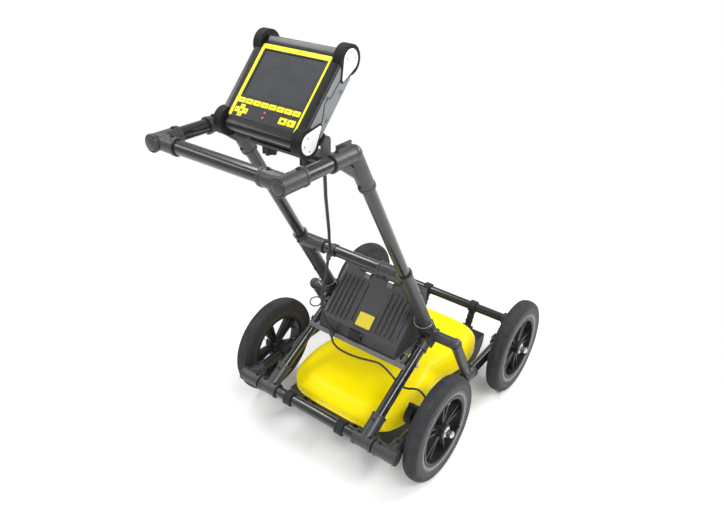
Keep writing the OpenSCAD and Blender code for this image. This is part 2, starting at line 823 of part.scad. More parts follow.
// Lower leg moulding: fold tongue, sleeve and the tee for the cross tube
module leg_sleeve() difference() {
    union() {
        leg_frame() {
            leg_plate(-tongue_half, tongue_half) {
                circle(tongue_r);
                translate([0, -tongue_r]) square([leg_sleeve_start + mouth_len, 2 * tongue_r]);
            }
            translate([0, 0, leg_sleeve_start])
                cylinder(d = leg_sleeve_d, h = cross_at + leg_sleeve_top - leg_sleeve_start);
            translate([0, 0, cross_at + leg_sleeve_top - mouth_len])
                cylinder(d = leg_sleeve_d + grip_mouth_step, h = mouth_len);
            translate([0, 0, cross_at]) {
                rod_x(leg_sleeve_d, -tee_reach, 0);
                rod_x(leg_sleeve_d + grip_mouth_step, -tee_reach, -tee_reach + mouth_len);
            }
        }
    }
    leg_frame() {
        translate([0, 0, leg_tube_start - seat_clear])
            cylinder(d = tube_d + 2 * fit_clear, h = cross_at + leg_len);
        translate([0, 0, cross_at]) rod_x(tube_d + 2 * fit_clear, -tee_reach - overrun, 0);
        rod_x(fold_pin_d + 2 * run_clear, -sleeve_d, sleeve_d);
        translate([0, 0, lock_at]) rod_x(lock_pin_d + 2 * fit_clear, -sleeve_d, sleeve_d);
    }
}

module leg_sleeves() color(fitting_black) both() leg_sleeve();

module leg_cross_tube() color(tube_black)
    translate([0, apex_y - cross_at * sin(leg_lean), apex_z + cross_at * cos(leg_lean)])
        frame_tube(brace_x - tube_inset);

// Wire-lock pins through the leg tongues, each with its wire bail hooked up round the leg
module lock_pins() color(steel) both() leg_frame() {
    translate([0, 0, lock_at]) {
        rod_x(lock_pin_d, -lock_pin_half, lock_pin_half);
        rod_x(lock_head_d, lock_pin_half, lock_pin_half + lock_head_t);
        rod_x(lock_head_d, -lock_pin_half - lock_head_t, -lock_pin_half);
        for (s = [-1, 1]) translate([s * bail_r, 0, 0]) {
            cylinder(d = bail_wire_d, h = bail_rise);
            translate([0, 0, bail_rise]) sphere(d = bail_ball_d);
        }
        translate([0, 0, bail_rise]) rotate([0, 0, 180])
            rotate_extrude(angle = 180) translate([bail_r, 0]) circle(d = bail_wire_d, $fn = 24);
    }
}

// Top corner: sleeves for leg and arm joined by a gusset, and a pad for the shelf
module top_bracket() difference() {
    union() {
        translate([brace_x, corner_y, corner_z]) {
            sphere(d = corner_ball_d);
            rod_y(grip_sleeve_d, -top_arm_sleeve, 0);
            rod_y(grip_mouth_d, -top_arm_sleeve, -top_arm_sleeve + mouth_len);
            rod_x(pad_d, -pad_len, 0);
        }
        leg_frame() translate([0, 0, leg_len - top_leg_sleeve]) {
            cylinder(d = grip_sleeve_d, h = top_leg_sleeve);
            cylinder(d = grip_mouth_d, h = mouth_len);
        }
        gusset(gusset_t, 1);
    }
    difference() {
        union() for (s = [-1, 1]) translate([s * (gusset_t - gusset_recess), 0, 0])
            gusset(gusset_t, gusset_recess_share);
        leg_frame() translate([0, 0, leg_len - top_leg_sleeve])
            cylinder(d = grip_sleeve_d, h = top_leg_sleeve);
        translate([brace_x, corner_y, corner_z]) rod_y(grip_sleeve_d, -top_arm_sleeve, 0);
    }
    leg_frame() translate([0, 0, leg_len - top_leg_sleeve - overrun])
        cylinder(d = tube_d + 2 * fit_clear, h = top_leg_sleeve + overrun - corner_stop + seat_clear);
    translate([brace_x, corner_y, corner_z])
        rod_y(tube_d + 2 * fit_clear, -top_arm_sleeve - overrun, -corner_stop + seat_clear);
}

// Triangular web between the arm and leg sleeves
module gusset(t, share) {
    arm = top_arm_sleeve * gusset_arm_share * share;
    leg = top_leg_sleeve * gusset_leg_share * share;
    translate([brace_x - t / 2, corner_y, corner_z]) rotate([90, 0, 90]) linear_extrude(t)
        polygon([[0, 0], [-arm, 0], [leg * sin(leg_lean), -leg * cos(leg_lean)]]);
}

module top_brackets() color(fitting_black) both() top_bracket();

module arm_tubes() color(tube_black) both() translate([brace_x, 0, corner_z]) difference() {
    rod_y(tube_d, bar_y + tube_inset, corner_y - corner_stop);
    rod_y(tube_d - 2 * tube_wall, bar_y, corner_y);
}

module handlebar_elbow() difference() {
    union() {
        rod_y(grip_sleeve_d, -elbow_cap, elbow_arm);
        rod_y(grip_mouth_d, elbow_arm - mouth_len, elbow_arm);
        rod_x(grip_sleeve_d, -elbow_bar, 0);
        rod_x(grip_mouth_d, -elbow_bar, -elbow_bar + mouth_len);
    }
    rod_y(tube_d + 2 * fit_clear, tube_inset - seat_clear, elbow_arm + overrun);
    rod_x(tube_d + 2 * fit_clear, -elbow_bar - overrun, -tube_inset + seat_clear);
}

module handlebar_elbows() color(fitting_black) both() translate([brace_x, bar_y, corner_z])
    handlebar_elbow();

module handlebar() color(tube_black) translate([0, bar_y, corner_z]) frame_tube(brace_x - tube_inset);

// Display mount

module knob_stud_holes() for (s = [-1, 1]) translate([s * knob_x, -knob_back, -leg_len])
    cylinder(d = knob_stud_d + 2 * run_clear, h = leg_len);

// Shelf between the top brackets, with a flange at each end and a socket for the display lead
module display_shelf() color(fitting_black) translate([0, pivot_y, pivot_z]) difference() {
    half = brace_x - pad_len - seat_clear;
    low = -yoke_drop - shelf_t;
    union() {
        translate([-half, -shelf_back, low]) cube([2 * half, shelf_back + shelf_ahead, shelf_t]);
        translate([-half, shelf_ahead - shelf_rib_t, low - shelf_rib_drop])
            cube([2 * half, shelf_rib_t, shelf_rib_drop + overrun]);
        for (s = [-1, 1]) translate([s * (half - shelf_flange_t / 2), (shelf_ahead - shelf_back) / 2, 0])
            translate([-shelf_flange_t / 2, -(shelf_ahead + shelf_back) / 2, low])
                cube([shelf_flange_t, shelf_ahead + shelf_back, shelf_flange_up - pivot_up - low]);
        translate([socket_x, socket_ahead, low - socket_drop])
            cylinder(d = socket_d, h = socket_drop + overrun);
    }
    knob_stud_holes();
}

// Tilt yoke on the shelf: base plate, two ears and a trunnion in each
module display_yoke() color(fitting_black) translate([0, pivot_y, pivot_z]) difference() {
    union() {
        translate([-ear_x - ear_t, -yoke_back, -yoke_drop])
            cube([2 * (ear_x + ear_t), yoke_back + yoke_ahead, yoke_t]);
        both() {
            rod_x(2 * lug_r, ear_x, ear_x + ear_t);
            translate([ear_x, -lug_r, -yoke_drop]) cube([ear_t, 2 * lug_r, yoke_drop]);
            rod_x(pivot_d - 2 * fit_clear, ear_x - lug_t, ear_x + overrun);
        }
    }
    knob_stud_holes();
}

// Lobed thumb knob with its stud up through shelf and yoke
module thumb_knob(side) color(tube_black) translate([side * knob_x, pivot_y - knob_back, pivot_z]) {
    top = -yoke_drop - shelf_t - move_clear;
    translate([0, 0, top - knob_h]) linear_extrude(knob_h) {
        circle(knob_r);
        for (k = [0 : knob_lobes - 1]) rotate(360 * k / knob_lobes) translate([knob_r, 0])
            circle(knob_lobe_r);
    }
    translate([0, 0, top - overrun]) cylinder(d = knob_stud_d, h = shelf_t + yoke_t + move_clear + overrun);
}

module display_cable() color(tube_black) lead(display_route, lead_d, [1, 0, 0]);

// Display

module case_outline(grow) translate([0, case_up])
    round_rect(display_w + 2 * grow, display_h + 2 * grow, display_corner_r + grow);

// Side view of one bumper, first axis up the face: a disc at the case's end with a tail along its side
module bumper_outline() {
    reach = display_h / 2 - bumper_reach;
    translate([reach, -bumper_deep]) {
        circle(bumper_r);
        polygon([[0, bumper_r], [-tail_in, tail_end - tail_deep], [-tail_in, -tail_end - tail_deep],
            [0, -bumper_r]]);
    }
}

// Bumpers over the four ends of the case's side walls
module display_bumpers() color(tube_black) face_frame() difference() {
    both() for (s = [0, 1]) translate([display_w / 2 - bumper_in, case_up, 0]) mirror([0, s, 0])
        rotate([90, 0, 90]) linear_extrude(bumper_in + bumper_plate) bumper_outline();
    translate([0, 0, -display_t - fit_clear]) linear_extrude(display_t + 2 * fit_clear)
        case_outline(fit_clear);
}

// Middle of each key on the face, with its outline
module key_outline(k, grow) {
    if (k < key_count)
        translate([(k - (key_count - 1) / 2) * key_pitch, key_rows_up])
            round_rect(key_w + 2 * grow, key_h + 2 * grow, key_r);
    else if (k < key_count + 2)
        translate([action_x[k - key_count], action_up])
            round_rect(action_w + 2 * grow, action_h + 2 * grow, key_r);
    else translate([nav_x, nav_up]) {
        square([nav_w + 2 * grow, nav_arm + 2 * grow], center = true);
        square([nav_arm + 2 * grow, nav_h + 2 * grow], center = true);
    }
}

module all_keys(grow) for (k = [0 : key_count + 2]) key_outline(k, grow);

module lamp_holes(grow) for (y = lamp_ups) translate([lamp_x, y]) circle(d = lamp_d + 2 * grow);

module window_outline(grow) translate([0, screen_up])
    square([screen_w + 2 * grow, screen_h + 2 * grow], center = true);

module display_front_case() color(tube_black) face_frame() difference() {
    translate([0, 0, -seam_deep]) linear_extrude(seam_deep) case_outline(0);
    translate([0, 0, -panel_t]) linear_extrude(panel_t + overrun)
        round_rect(panel_w + 2 * fit_clear, panel_h + 2 * fit_clear, panel_r);
    translate([0, 0, -panel_t - glass_t]) linear_extrude(glass_t + overrun)
        window_outline(glass_margin + fit_clear);
    translate([0, 0, -panel_t - key_travel - key_proud]) linear_extrude(panel_t + key_proud + overrun)
        all_keys(key_gap);
    translate([0, 0, -panel_t - lamp_d]) linear_extrude(lamp_d + overrun) lamp_holes(fit_clear);
}

module display_back_case() color(fitting_black) display_frame() difference() {
    union() {
        translate([0, face_up, face_out - display_t]) linear_extrude(display_t - seam_deep)
            case_outline(0);
        both() {
            rod_x(2 * lug_r, lug_x - lug_t, lug_x);
            translate([lug_x - lug_t, -lug_r, 0]) cube([lug_t, 2 * lug_r, pivot_gap + overrun]);
        }
    }
    both() rod_x(pivot_d + 2 * fit_clear, lug_x - lug_t - overrun, lug_x + overrun);
    for (k = [0 : vent_count - 1])
        translate([-vent_w / 2, face_up + (k - (vent_count - 1) / 2) * vent_pitch,
            face_out - display_t - overrun])
            cube([vent_w, vent_h, vent_deep + overrun]);
}

module screen_panel() color(glass_dark) face_frame()
    translate([0, 0, -panel_t - glass_t]) linear_extrude(glass_t - fit_clear) window_outline(glass_margin);

module keypad_panel() color(yellow) face_frame() translate([0, 0, -panel_t])
    linear_extrude(panel_t + panel_proud) difference() {
    round_rect(panel_w, panel_h, panel_r);
    window_outline(0);
    all_keys(key_gap);
    lamp_holes(fit_clear);
}

module status_lamps() color([0.85, 0.2, 0.2]) face_frame()
    translate([0, 0, -panel_t - lamp_d + seat_clear]) linear_extrude(panel_t + lamp_d + lamp_proud)
        lamp_holes(0);

module key(k) color(yellow) face_frame()
    translate([0, 0, -panel_t]) linear_extrude(panel_t + key_proud) key_outline(k, 0);

// Battery case

module case_extrude(w) translate([-w / 2, 0, 0]) rotate([90, 0, 90]) linear_extrude(w) children();

// Points along the lid: p along its slope from the rear edge, q out of its face
function lid_point(p, q) = [
    case_rear_y + p * cos(lid_slope) - q * sin(lid_slope),
    lid_edge_z + p * sin(lid_slope) + q * cos(lid_slope)
];

module lid_frame() translate([0, case_rear_y, lid_edge_z]) rotate([lid_slope, 0, 0]) children();

// One of the hinge's barrels, numbered from the left
module hinge_barrel(k) {
    w = hinge_span / hinge_parts;
    lid_frame() translate([0, lid_len, 0])
        rod_x(2 * hinge_r, -hinge_span / 2 + k * w + hinge_part_gap / 2,
            -hinge_span / 2 + (k + 1) * w - hinge_part_gap / 2);
}

// Web that ties a barrel to the crest or to the lid
module hinge_web(k, p0, p1) {
    w = hinge_span / hinge_parts;
    lid_frame() translate([-hinge_span / 2 + k * w + hinge_part_gap / 2, lid_len + p0, -hinge_r])
        cube([w - hinge_part_gap, p1 - p0, hinge_r]);
}

module case_base() color(case_grey) difference() {
    union() {
        difference() {
            case_extrude(case_w) polygon([
                [case_rear_y, tray_z], [case_front_y, tray_z], [case_front_y, lid_top_z],
                lid_point(lid_len + lid_gap, 0), lid_point(lid_len + lid_gap, -lid_t - seat_clear),
                [case_rear_y, lid_edge_z - (lid_t + seat_clear) / cos(lid_slope)]
            ]);
            case_extrude(case_w - 2 * case_wall) polygon([
                [case_rear_y + case_wall, tray_z + case_wall], [case_front_y - case_wall,
                    tray_z + case_wall],
                [case_front_y - case_wall, lid_top_z - case_wall - lid_t],
                lid_point(lid_len - lid_inset, -lid_t + overrun), [case_rear_y + case_wall, lid_edge_z]
            ]);
            lid_frame() translate([0, lid_len, 0])
                rod_x(2 * (hinge_r + move_clear), -hinge_span / 2, hinge_span / 2);
        }
        for (k = [0 : 2 : hinge_parts - 1]) {
            hinge_barrel(k);
            hinge_web(k, 0, 2 * hinge_r);
        }
        lid_frame() translate([0, lid_len, 0])
            rod_x(hinge_pin_d, -hinge_span / 2 + hinge_r, hinge_span / 2 - hinge_r);
        latch_frame() translate([-latch_w / 2 + latch_ear_w, -latch_r + latch_t + move_clear, -latch_len])
            cube([latch_w - 2 * latch_ear_w, latch_out + latch_r - latch_t, strike_h]);
        translate([boss_x, boss_y, boss_z]) cylinder(d = boss_d, h = boss_h);
        translate([boss_x - boss_neck_w / 2, boss_y, boss_z])
            cube([boss_neck_w, case_rear_y - boss_y + overrun, boss_h]);
    }
}

// Ribs on each side of the lid's plain middle, where a label would sit
module lid_ribs() for (s = [-1, 1], share = rib_xs_shares)
    translate([s * share * case_w / 2 - rib_w / 2, rib_start, -overrun])
        cube([rib_w, lid_len - rib_start - rib_end, rib_h + overrun]);

module case_lid() color(case_grey) {
    difference() {
        union() {
            case_extrude(case_w) polygon([
                [case_rear_y, lid_edge_z - lid_t / cos(lid_slope)], lid_point(lid_len, -lid_t),
                lid_point(lid_len, 0), [case_rear_y, lid_edge_z]
            ]);
            lid_frame() lid_ribs();
        }
        both() lid_frame() translate([case_w / 2, -lid_len, -lid_chamfer])
            rotate([0, -lid_chamfer_angle, 0])
            cube([lid_len, chamfer_reach * lid_len, lid_len]);
        case_extrude(case_w - 2 * lid_inset) polygon([
            lid_point(lid_inset + lid_t, -lid_t - overrun), lid_point(lid_len - lid_inset,
                -lid_t - overrun),
            lid_point(lid_len - lid_inset, -lid_wall), lid_point(lid_inset + lid_t, -lid_wall)
        ]);
        lid_frame() translate([0, lid_len, 0])
            rod_x(2 * (hinge_r + move_clear), -hinge_span / 2, hinge_span / 2);
    }
    difference() {
        for (k = [1 : 2 : hinge_parts - 2]) {
            hinge_barrel(k);
            hinge_web(k, -2 * hinge_r, 0);
        }
        lid_frame() translate([0, lid_len, 0]) rod_x(hinge_pin_d + 2 * run_clear, -hinge_span, hinge_span);
    }
    latch_ears();
}

module latch_frame() translate([0, case_rear_y - latch_out, lid_edge_z - latch_drop]) children();

// Two ears on the lid's rear edge and the pin that the latch swings on
module latch_ears() latch_frame() {
    both() {
        rod_x(2 * latch_r, latch_w / 2 + move_clear, latch_w / 2 + move_clear + latch_ear_w);
        translate([latch_w / 2 + move_clear, 0, -latch_r])
            cube([latch_ear_w, latch_out + overrun, 2 * latch_r]);
    }
    rod_x(latch_pin_d, -latch_w / 2 - overrun, latch_w / 2 + overrun);
}

module case_latch() color(tube_black) latch_frame() difference() {
    union() {
        rod_x(2 * latch_r, -latch_w / 2, latch_w / 2);
        translate([-latch_w / 2, -latch_r, -latch_len]) cube([latch_w, latch_t, latch_len]);
        translate([-latch_w / 2, -latch_r - latch_t, -latch_len])
            cube([latch_w, latch_t + overrun, latch_t]);
    }
    rod_x(latch_pin_d + 2 * run_clear, -latch_w, latch_w);
}

module battery_pack() color(tube_black) {
    z0 = tray_z + case_wall;
    y1 = case_front_y - case_wall - battery_gap;
    translate([-battery_w / 2, y1 - battery_d, z0]) cube([battery_w, battery_d, battery_h]);
    for (s = [-1, 1])
        translate([s * battery_w * terminal_x_share, y1 - battery_d * terminal_y_share,
            z0 + battery_h - overrun])
        cylinder(d = terminal_d, h = terminal_h + overrun);
}

// Tray on the braces: lip across the tubes, floor, and an ear bolted to each brace
module case_tray() color(tray_grey) {
    half = case_w / 2 + tray_side_gap;
    knob_room = tray_knob_d / 2 + tray_side_gap;
    difference() {
        union() {
            translate([-brace_x, tray_lip_y - tray_lip_t, lip_z])
                cube([2 * brace_x, tray_lip_t, tray_lip_h]);
            translate([-tray_ear_x, tray_lip_y - overrun, tray_z - tray_t])
                cube([2 * tray_ear_x, case_front_y - tray_lip_y - tray_front_margin, tray_t]);
            both() translate([0, tray_bolt_y, tray_bolt_z]) {
                rod_x(2 * tray_ear_r, tray_ear_x - tray_ear_t, tray_ear_x);
                rod_x(tray_ear_r, tray_ear_x - overrun, brace_x - tube_d / 2 - seat_clear);
            }
        }
        both() {
            translate([half, tray_bolt_y - knob_room, tray_z - tray_t - overrun])
                cube([tray_ear_x - tray_ear_t - half, 2 * knob_room, tray_t + 2 * overrun]);
            translate([0, tray_bolt_y, tray_bolt_z]) rod_x(tray_bolt_d + 2 * fit_clear, half, brace_x);
        }
    }
}

// Clamp knobs whose bolts pass through the tray's ears and the braces
module tray_knobs() color(tube_black) both() translate([0, tray_bolt_y, tray_bolt_z]) {
    inner = tray_ear_x - tray_ear_t - seat_clear;
    rod_x(tray_knob_d, inner - tray_knob_t, inner);
    rod_x(tray_bolt_d, inner - overrun, brace_x + tube_d / 2 + tray_bolt_d / 2);
}

// Sensor

// Point of the shell: ring i of the dome at angle a, squared off like a rounded rectangle
function signed_pow(v, e) = sign(v) * pow(abs(v), e);
function shell_drop(y) = 1 - (y > 0 ? front_drop_share : rear_drop_share)
    * pow(abs(y) / (shell_len / 2), 2);
function shell_point(i, a) =
    let (
        t = i < 1 ? 0 : 90 * (i - 1) / (ring_steps - 1),
        inset = dome_inset * (1 - cos(t)),
        y = (shell_len / 2 - inset) * signed_pow(sin(a), 2 / shell_power),
        waist = waist_in * exp(-pow((y - waist_y) / waist_span, 2)),
        x = (shell_w / 2 - inset - waist) * signed_pow(cos(a), 2 / shell_power),
        z = i < 1 ? rim_z : rim_z + rim_h + dome_h * sin(t) * shell_drop(y)
    ) [x, y + shell_mid_y, z];

module shell_form() {
    rings = ring_steps + 1;
    points = [for (i = [0 : rings - 1], k = [0 : ring_points - 1]) shell_point(i, 360 * k / ring_points)];
    crown = [[0, shell_mid_y, rim_z + rim_h + dome_h]];
    last = (rings - 1) * ring_points;
    sides = [for (i = [0 : rings - 2], k = [0 : ring_points - 1], f = [0, 1])
        let (a = i * ring_points + k, b = i * ring_points + (k + 1) % ring_points)
        f == 0 ? [a, b + ring_points, b] : [a, a + ring_points, b + ring_points]];
    top = [for (k = [0 : ring_points - 1]) [last + k, last + ring_points, last + (k + 1) % ring_points]];
    base = [[0, shell_mid_y, rim_z]];
    floor_fan = [for (k = [0 : ring_points - 1]) [k, (k + 1) % ring_points, last + ring_points + 1]];
    polyhedron(concat(points, crown, base), concat(floor_fan, sides, top), convexity = 4);
}

module sensor_shell() color(yellow) difference() {
    shell_form();
    translate([cavity_side - shell_w / 2, shell_mid_y + cavity_end - shell_len / 2, rim_z - overrun])
        cube([shell_w - 2 * cavity_side, shell_len - 2 * cavity_end, cavity_h + overrun]);
}

// Side view of the sled: flat below, both ends curving up
module sled_outline() {
    y0 = shell_mid_y - sled_back;
    y1 = shell_mid_y + sled_ahead;
    translate([y0 + sled_r, ground_gap]) square([y1 - y0 - 2 * sled_r, sled_h]);
    translate([y0, ground_gap + sled_r]) square([y1 - y0, sled_h - sled_r]);
    intersection() {
        for (y = [y0 + sled_r, y1 - sled_r]) translate([y, ground_gap + sled_r]) circle(sled_r, $fn = 96);
        translate([y0, ground_gap]) square([y1 - y0, sled_h]);
    }
}

// Bar between two ears that a strap's eye hangs on
module strap_hook(y, dir) for (s = [-1, 1]) translate([s * strap_x, y, hook_z]) {
    rod_x(hook_bar_d, -hook_ear_w / 2 - move_clear, hook_ear_w / 2 + move_clear);
    for (e = [-1, 1]) translate([e * (hook_ear_w / 2 + move_clear + hook_ear_t / 2), 0, 0]) {
        rod_x(2 * hook_bar_d, -hook_ear_t / 2, hook_ear_t / 2);
        translate([-hook_ear_t / 2, dir > 0 ? 0 : -hook_bar_d - sled_r / 2, -hook_bar_d])
            cube([hook_ear_t, hook_bar_d + sled_r / 2, 2 * hook_bar_d]);
    }
}

module sensor_sled() color(tube_black) {
    difference() {
        case_extrude(sled_w) sled_outline();
        translate([sled_wall - sled_w / 2, shell_mid_y - sled_back + sled_r / 2, ground_gap + sled_floor])
            cube([sled_w - 2 * sled_wall, 2 * sled_back - sled_r, sled_h]);
    }
    intersection() {
        union() {
            strap_hook(hook_ys[0], 1);
            strap_hook(hook_ys[1], -1);
        }
        translate([-sled_w, rear_y, 0]) cube([2 * sled_w, front_y - rear_y, rim_z]);
    }
}

// Each strap loops round a cross tube and ends in an eye on the sled's hook bar
module hanger_strap(tube_y, hook_y) {
    run = [hook_y - tube_y, hook_z - axle_z];
    angle = atan2(run[1], run[0]);
    translate([0, tube_y, axle_z]) rotate([angle, 0, 0]) difference() {
        union() {
            rod_x(tube_d + 2 * (move_clear + strap_ring_t), -strap_w / 2, strap_w / 2);
            translate([-strap_w / 2, 0, -strap_t / 2]) cube([strap_w, norm(run), strap_t]);
            translate([0, norm(run), 0])
                rod_x(hook_bar_d + 2 * (move_clear + strap_eye_t), -strap_w / 2, strap_w / 2);
        }
        rod_x(tube_d + 2 * seat_clear, -strap_w, strap_w);
        translate([0, norm(run), 0]) rod_x(hook_bar_d + 2 * seat_clear, -strap_w, strap_w);
    }
}

module hanger_straps() color(fitting_black) for (s = [-1, 1]) translate([s * strap_x, 0, 0]) {
    hanger_strap(rear_y, hook_ys[0]);
    hanger_strap(front_y, hook_ys[1]);
}

// Transmit and receive boards with their shielding cans, lying on the sled's floor
module antenna_boards() color(board_green) for (s = [-1, 1])
    translate([0, shell_mid_y + s * (board_d + board_gap) / 2, ground_gap + sled_floor]) {
        translate([-board_w / 2, -board_d / 2, 0]) cube([board_w, board_d, board_t]);
        translate([-can_w / 2, -can_w / 2, 0]) cube([can_w, can_w, board_t + can_h]);
    }

// Drawing

placed() cross_tubes();
placed() side_rails();
placed() corner_fittings();
placed() rear_tees();
placed() braces();
placed() knuckles();
placed() axle_blocks();
placed() axle_pins();
placed() fold_pins();
placed() case_tray();
placed() tray_knobs();
placed() hanger_straps();
placed() odometer_housing();
placed() odometer_cable();
placed() case_base();
placed() battery_pack();
placed() case_lid();
placed() case_latch();
placed() at_wheel(-1, -wheelbase / 2) tyre();  // tyre_rear_left
placed() at_wheel(1, -wheelbase / 2) tyre();  // tyre_rear_right
placed() at_wheel(-1, wheelbase / 2) tyre();  // tyre_front_left
placed() at_wheel(1, wheelbase / 2) tyre();  // tyre_front_right
placed() at_wheel(-1, -wheelbase / 2) rim(spoke_turns[0]);  // rim_rear_left
placed() at_wheel(1, -wheelbase / 2) rim(spoke_turns[1]);  // rim_rear_right
placed() at_wheel(-1, wheelbase / 2) rim(spoke_turns[2]);  // rim_front_left
placed() at_wheel(1, wheelbase / 2) rim(spoke_turns[3]);  // rim_front_right
placed() odometer_shaft();
placed() leg_tubes();
placed() leg_sleeves();
placed() leg_cross_tube();
placed() top_brackets();
placed() arm_tubes();
placed() handlebar_elbows();
placed() handlebar();
placed() lock_pins();
placed() display_shelf();
placed() display_yoke();
placed() display_cable();
placed() thumb_knob(-1);  // display_knob_left
placed() thumb_knob(1);  // display_knob_right
placed() display_front_case();
placed() display_back_case();
placed() display_bumpers();
placed() screen_panel();
placed() keypad_panel();
placed() status_lamps();
placed() key(0);  // function_key_1
placed() key(1);  // function_key_2
placed() key(2);  // function_key_3
placed() key(3);  // function_key_4
placed() key(4);  // function_key_5
placed() key(5);  // function_key_6
placed() key(6);  // function_key_7
placed() key(7);  // function_key_8
placed() key(key_count);  // action_key_left
placed() key(key_count + 1);  // action_key_right
placed() key(key_count + 2);  // nav_pad
placed() sensor_shell();
placed() sensor_sled();
placed() antenna_boards();
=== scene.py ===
import json
from math import acos, atan2, copysign, cos, exp, hypot, pi, radians, sin, sqrt

import bmesh
import bpy
from bpy.props import FloatProperty, FloatVectorProperty, IntProperty, PointerProperty
from mathutils import Matrix, Vector

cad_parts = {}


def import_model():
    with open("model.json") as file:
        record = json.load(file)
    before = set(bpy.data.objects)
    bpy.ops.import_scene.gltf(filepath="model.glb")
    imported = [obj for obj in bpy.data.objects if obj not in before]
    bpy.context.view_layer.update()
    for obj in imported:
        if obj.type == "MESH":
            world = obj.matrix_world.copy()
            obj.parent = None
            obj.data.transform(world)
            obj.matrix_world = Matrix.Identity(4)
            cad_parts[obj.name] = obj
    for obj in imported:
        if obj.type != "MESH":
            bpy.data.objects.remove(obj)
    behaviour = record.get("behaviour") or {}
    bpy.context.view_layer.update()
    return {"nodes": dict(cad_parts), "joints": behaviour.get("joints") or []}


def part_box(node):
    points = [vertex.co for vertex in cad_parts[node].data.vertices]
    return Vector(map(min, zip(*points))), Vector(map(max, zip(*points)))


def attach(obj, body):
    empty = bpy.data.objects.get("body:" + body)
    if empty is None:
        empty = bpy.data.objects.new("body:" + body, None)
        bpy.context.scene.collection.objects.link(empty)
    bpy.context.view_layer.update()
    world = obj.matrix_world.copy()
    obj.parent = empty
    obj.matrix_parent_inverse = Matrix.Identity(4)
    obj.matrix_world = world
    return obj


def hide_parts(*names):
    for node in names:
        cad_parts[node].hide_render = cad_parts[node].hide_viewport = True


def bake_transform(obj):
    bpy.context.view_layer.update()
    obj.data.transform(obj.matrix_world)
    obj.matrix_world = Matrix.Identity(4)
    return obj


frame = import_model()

bl_info = {
    "name": "Ground Penetrating Radar Cart",
    "version": (1, 0, 0),
    "blender": (4, 5, 0),
    "location": "View3D > Sidebar > Radar Cart",
    "description": "Dresses the radar cart with its finishes, tyres, sensor cover, straps, leads, display and "
                   "stage",
    "category": "Object",
}

JOINTS = {j["name"]: j for j in frame["joints"]}
NODES = frame["nodes"]

# The datum between the axles, and the places that the pieces hang on
WHEELS = ("rear_left", "rear_right", "front_left", "front_right")
SPOKE_TURN = {"rear_left": 50, "rear_right": 26, "front_left": 36, "front_right": 10}
HUBS = {w: Vector(JOINTS[w + "_spin"]["pos_m"]) for w in WHEELS}
DATUM_Y = (HUBS["rear_left"].y + HUBS["front_left"].y) / 2
AXLE_Z = HUBS["rear_left"].z
PIVOT = Vector(JOINTS["display_tilt"]["pos_m"])
PRESS = Vector(JOINTS["nav_pad_press"]["axis"])
TILT = atan2(PRESS.y, -PRESS.z)
FACE_UP, FACE_OUT = 0.055, 0.084
LID_HINGE = Vector(JOINTS["lid_hinge"]["pos_m"])
LID_SLOPE, LID_LEN = radians(44.5), 0.168
KEYS = ["function_key_%d" % k for k in range(1, 9)] + ["action_key_left", "action_key_right", "nav_pad"]
UP = (0, 0, 1)

# Lines of the frame, in millimetres from the datum
RAIL_X, REAR_Y, FRONT_Y = 252, -389, 348
AXLE_BLOCK_Y, BRACE_FOOT_Y = 230, 11.6
LEG_X, FOLD_Y, FOLD_Z = 169, -88, 325
LEG_LEAN, BRACE_SLOPE = radians(30), radians(29.8166)
CROSS_Y, CROSS_Z = -232.5, 575.28
CORNER_Y, BAR_Y, BAR_Z = -458.5, -649.5, 966.72

# The leads' middle lines, from end to end
DISPLAY_ROUTE = [
    (90, -449, 917.8), (90, -449, 910.2), (88.8, -447.5, 897.2), (85.1, -442.7, 884.5), (75.2, -429.9, 862.1),
    (58.9, -409, 827), (39.7, -382.3, 783.1), (17.5, -351.8, 735.7), (-3.2, -323.3, 690.1),
    (-25.4, -294.7, 644.5), (-44.7, -269.9, 602.4), (-58, -258.5, 567.3), (-59.4, -269, 511.1),
    (-60.8, -278.2, 475.4), (-62.8, -280.5, 438.6), (-64.9, -275.7, 402), (-67, -265.3, 370.1),
    (-69.7, -251.4, 343.4), (-71.8, -234.8, 323.9), (-71.8, -229.6, 313.7), (-71.8, -228, 303.5),
]
ODOMETER_ROUTE = [
    (-71.8, -228, 289.7), (-71.8, -228, 280.6), (-66.2, -227.1, 262.3), (-50.8, -224.4, 249),
    (-29.8, -222, 244.1), (-2.5, -222, 245), (27.2, -222, 249.9), (59.3, -222, 257.7), (89, -222, 263.6),
    (112.2, -222, 257.9), (134.6, -222, 244.5), (153.7, -222, 231), (172, -222, 222.9), (190.7, -222.2, 226.1),
    (207.4, -222.6, 234.8), (224, -223.2, 239.9), (240.6, -224.6, 234.5), (250.8, -225.9, 220.4),
    (250.8, -227.3, 203), (240.6, -228.6, 188.9), (224, -230, 183.5), (210.4, -230, 183.5),
]
ROUTE_STEPS, CLIP_POINT = 8, 11


def at(x, y, z):
    """A point given in millimetres from the datum, in the frame's metres."""
    return Vector((x / 1000, y / 1000 + DATUM_Y, z / 1000))


def on_display(u, v, w):
    """A point of the display: right, up the face and out of the face from its middle, in millimetres."""
    local = Vector((u / 1000, v / 1000 + FACE_UP, w / 1000 + FACE_OUT))
    return PIVOT + Matrix.Rotation(TILT, 3, "X") @ local


def display_matrix(u, v, w):
    return Matrix.Translation(on_display(u, v, w)) @ Matrix.Rotation(TILT, 4, "X")


def lid_matrix(x, p, q):
    """A place on the lid: across, up its slope from the rear edge and out of its face, in millimetres."""
    turn = Matrix.Rotation(LID_SLOPE, 4, "X")
    return Matrix.Translation(LID_HINGE) @ turn @ Matrix.Translation((x / 1000, p / 1000 - LID_LEN, q / 1000))


def corners(name):
    return [Vector(v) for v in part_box(name)]


def in_metres(points):
    return [(x / 1000, y / 1000) for x, y in points]


# Sizes and colours

def length(label, words, value, least, most):
    return FloatProperty(name=label, description=words, default=value, min=least, max=most, unit="LENGTH")


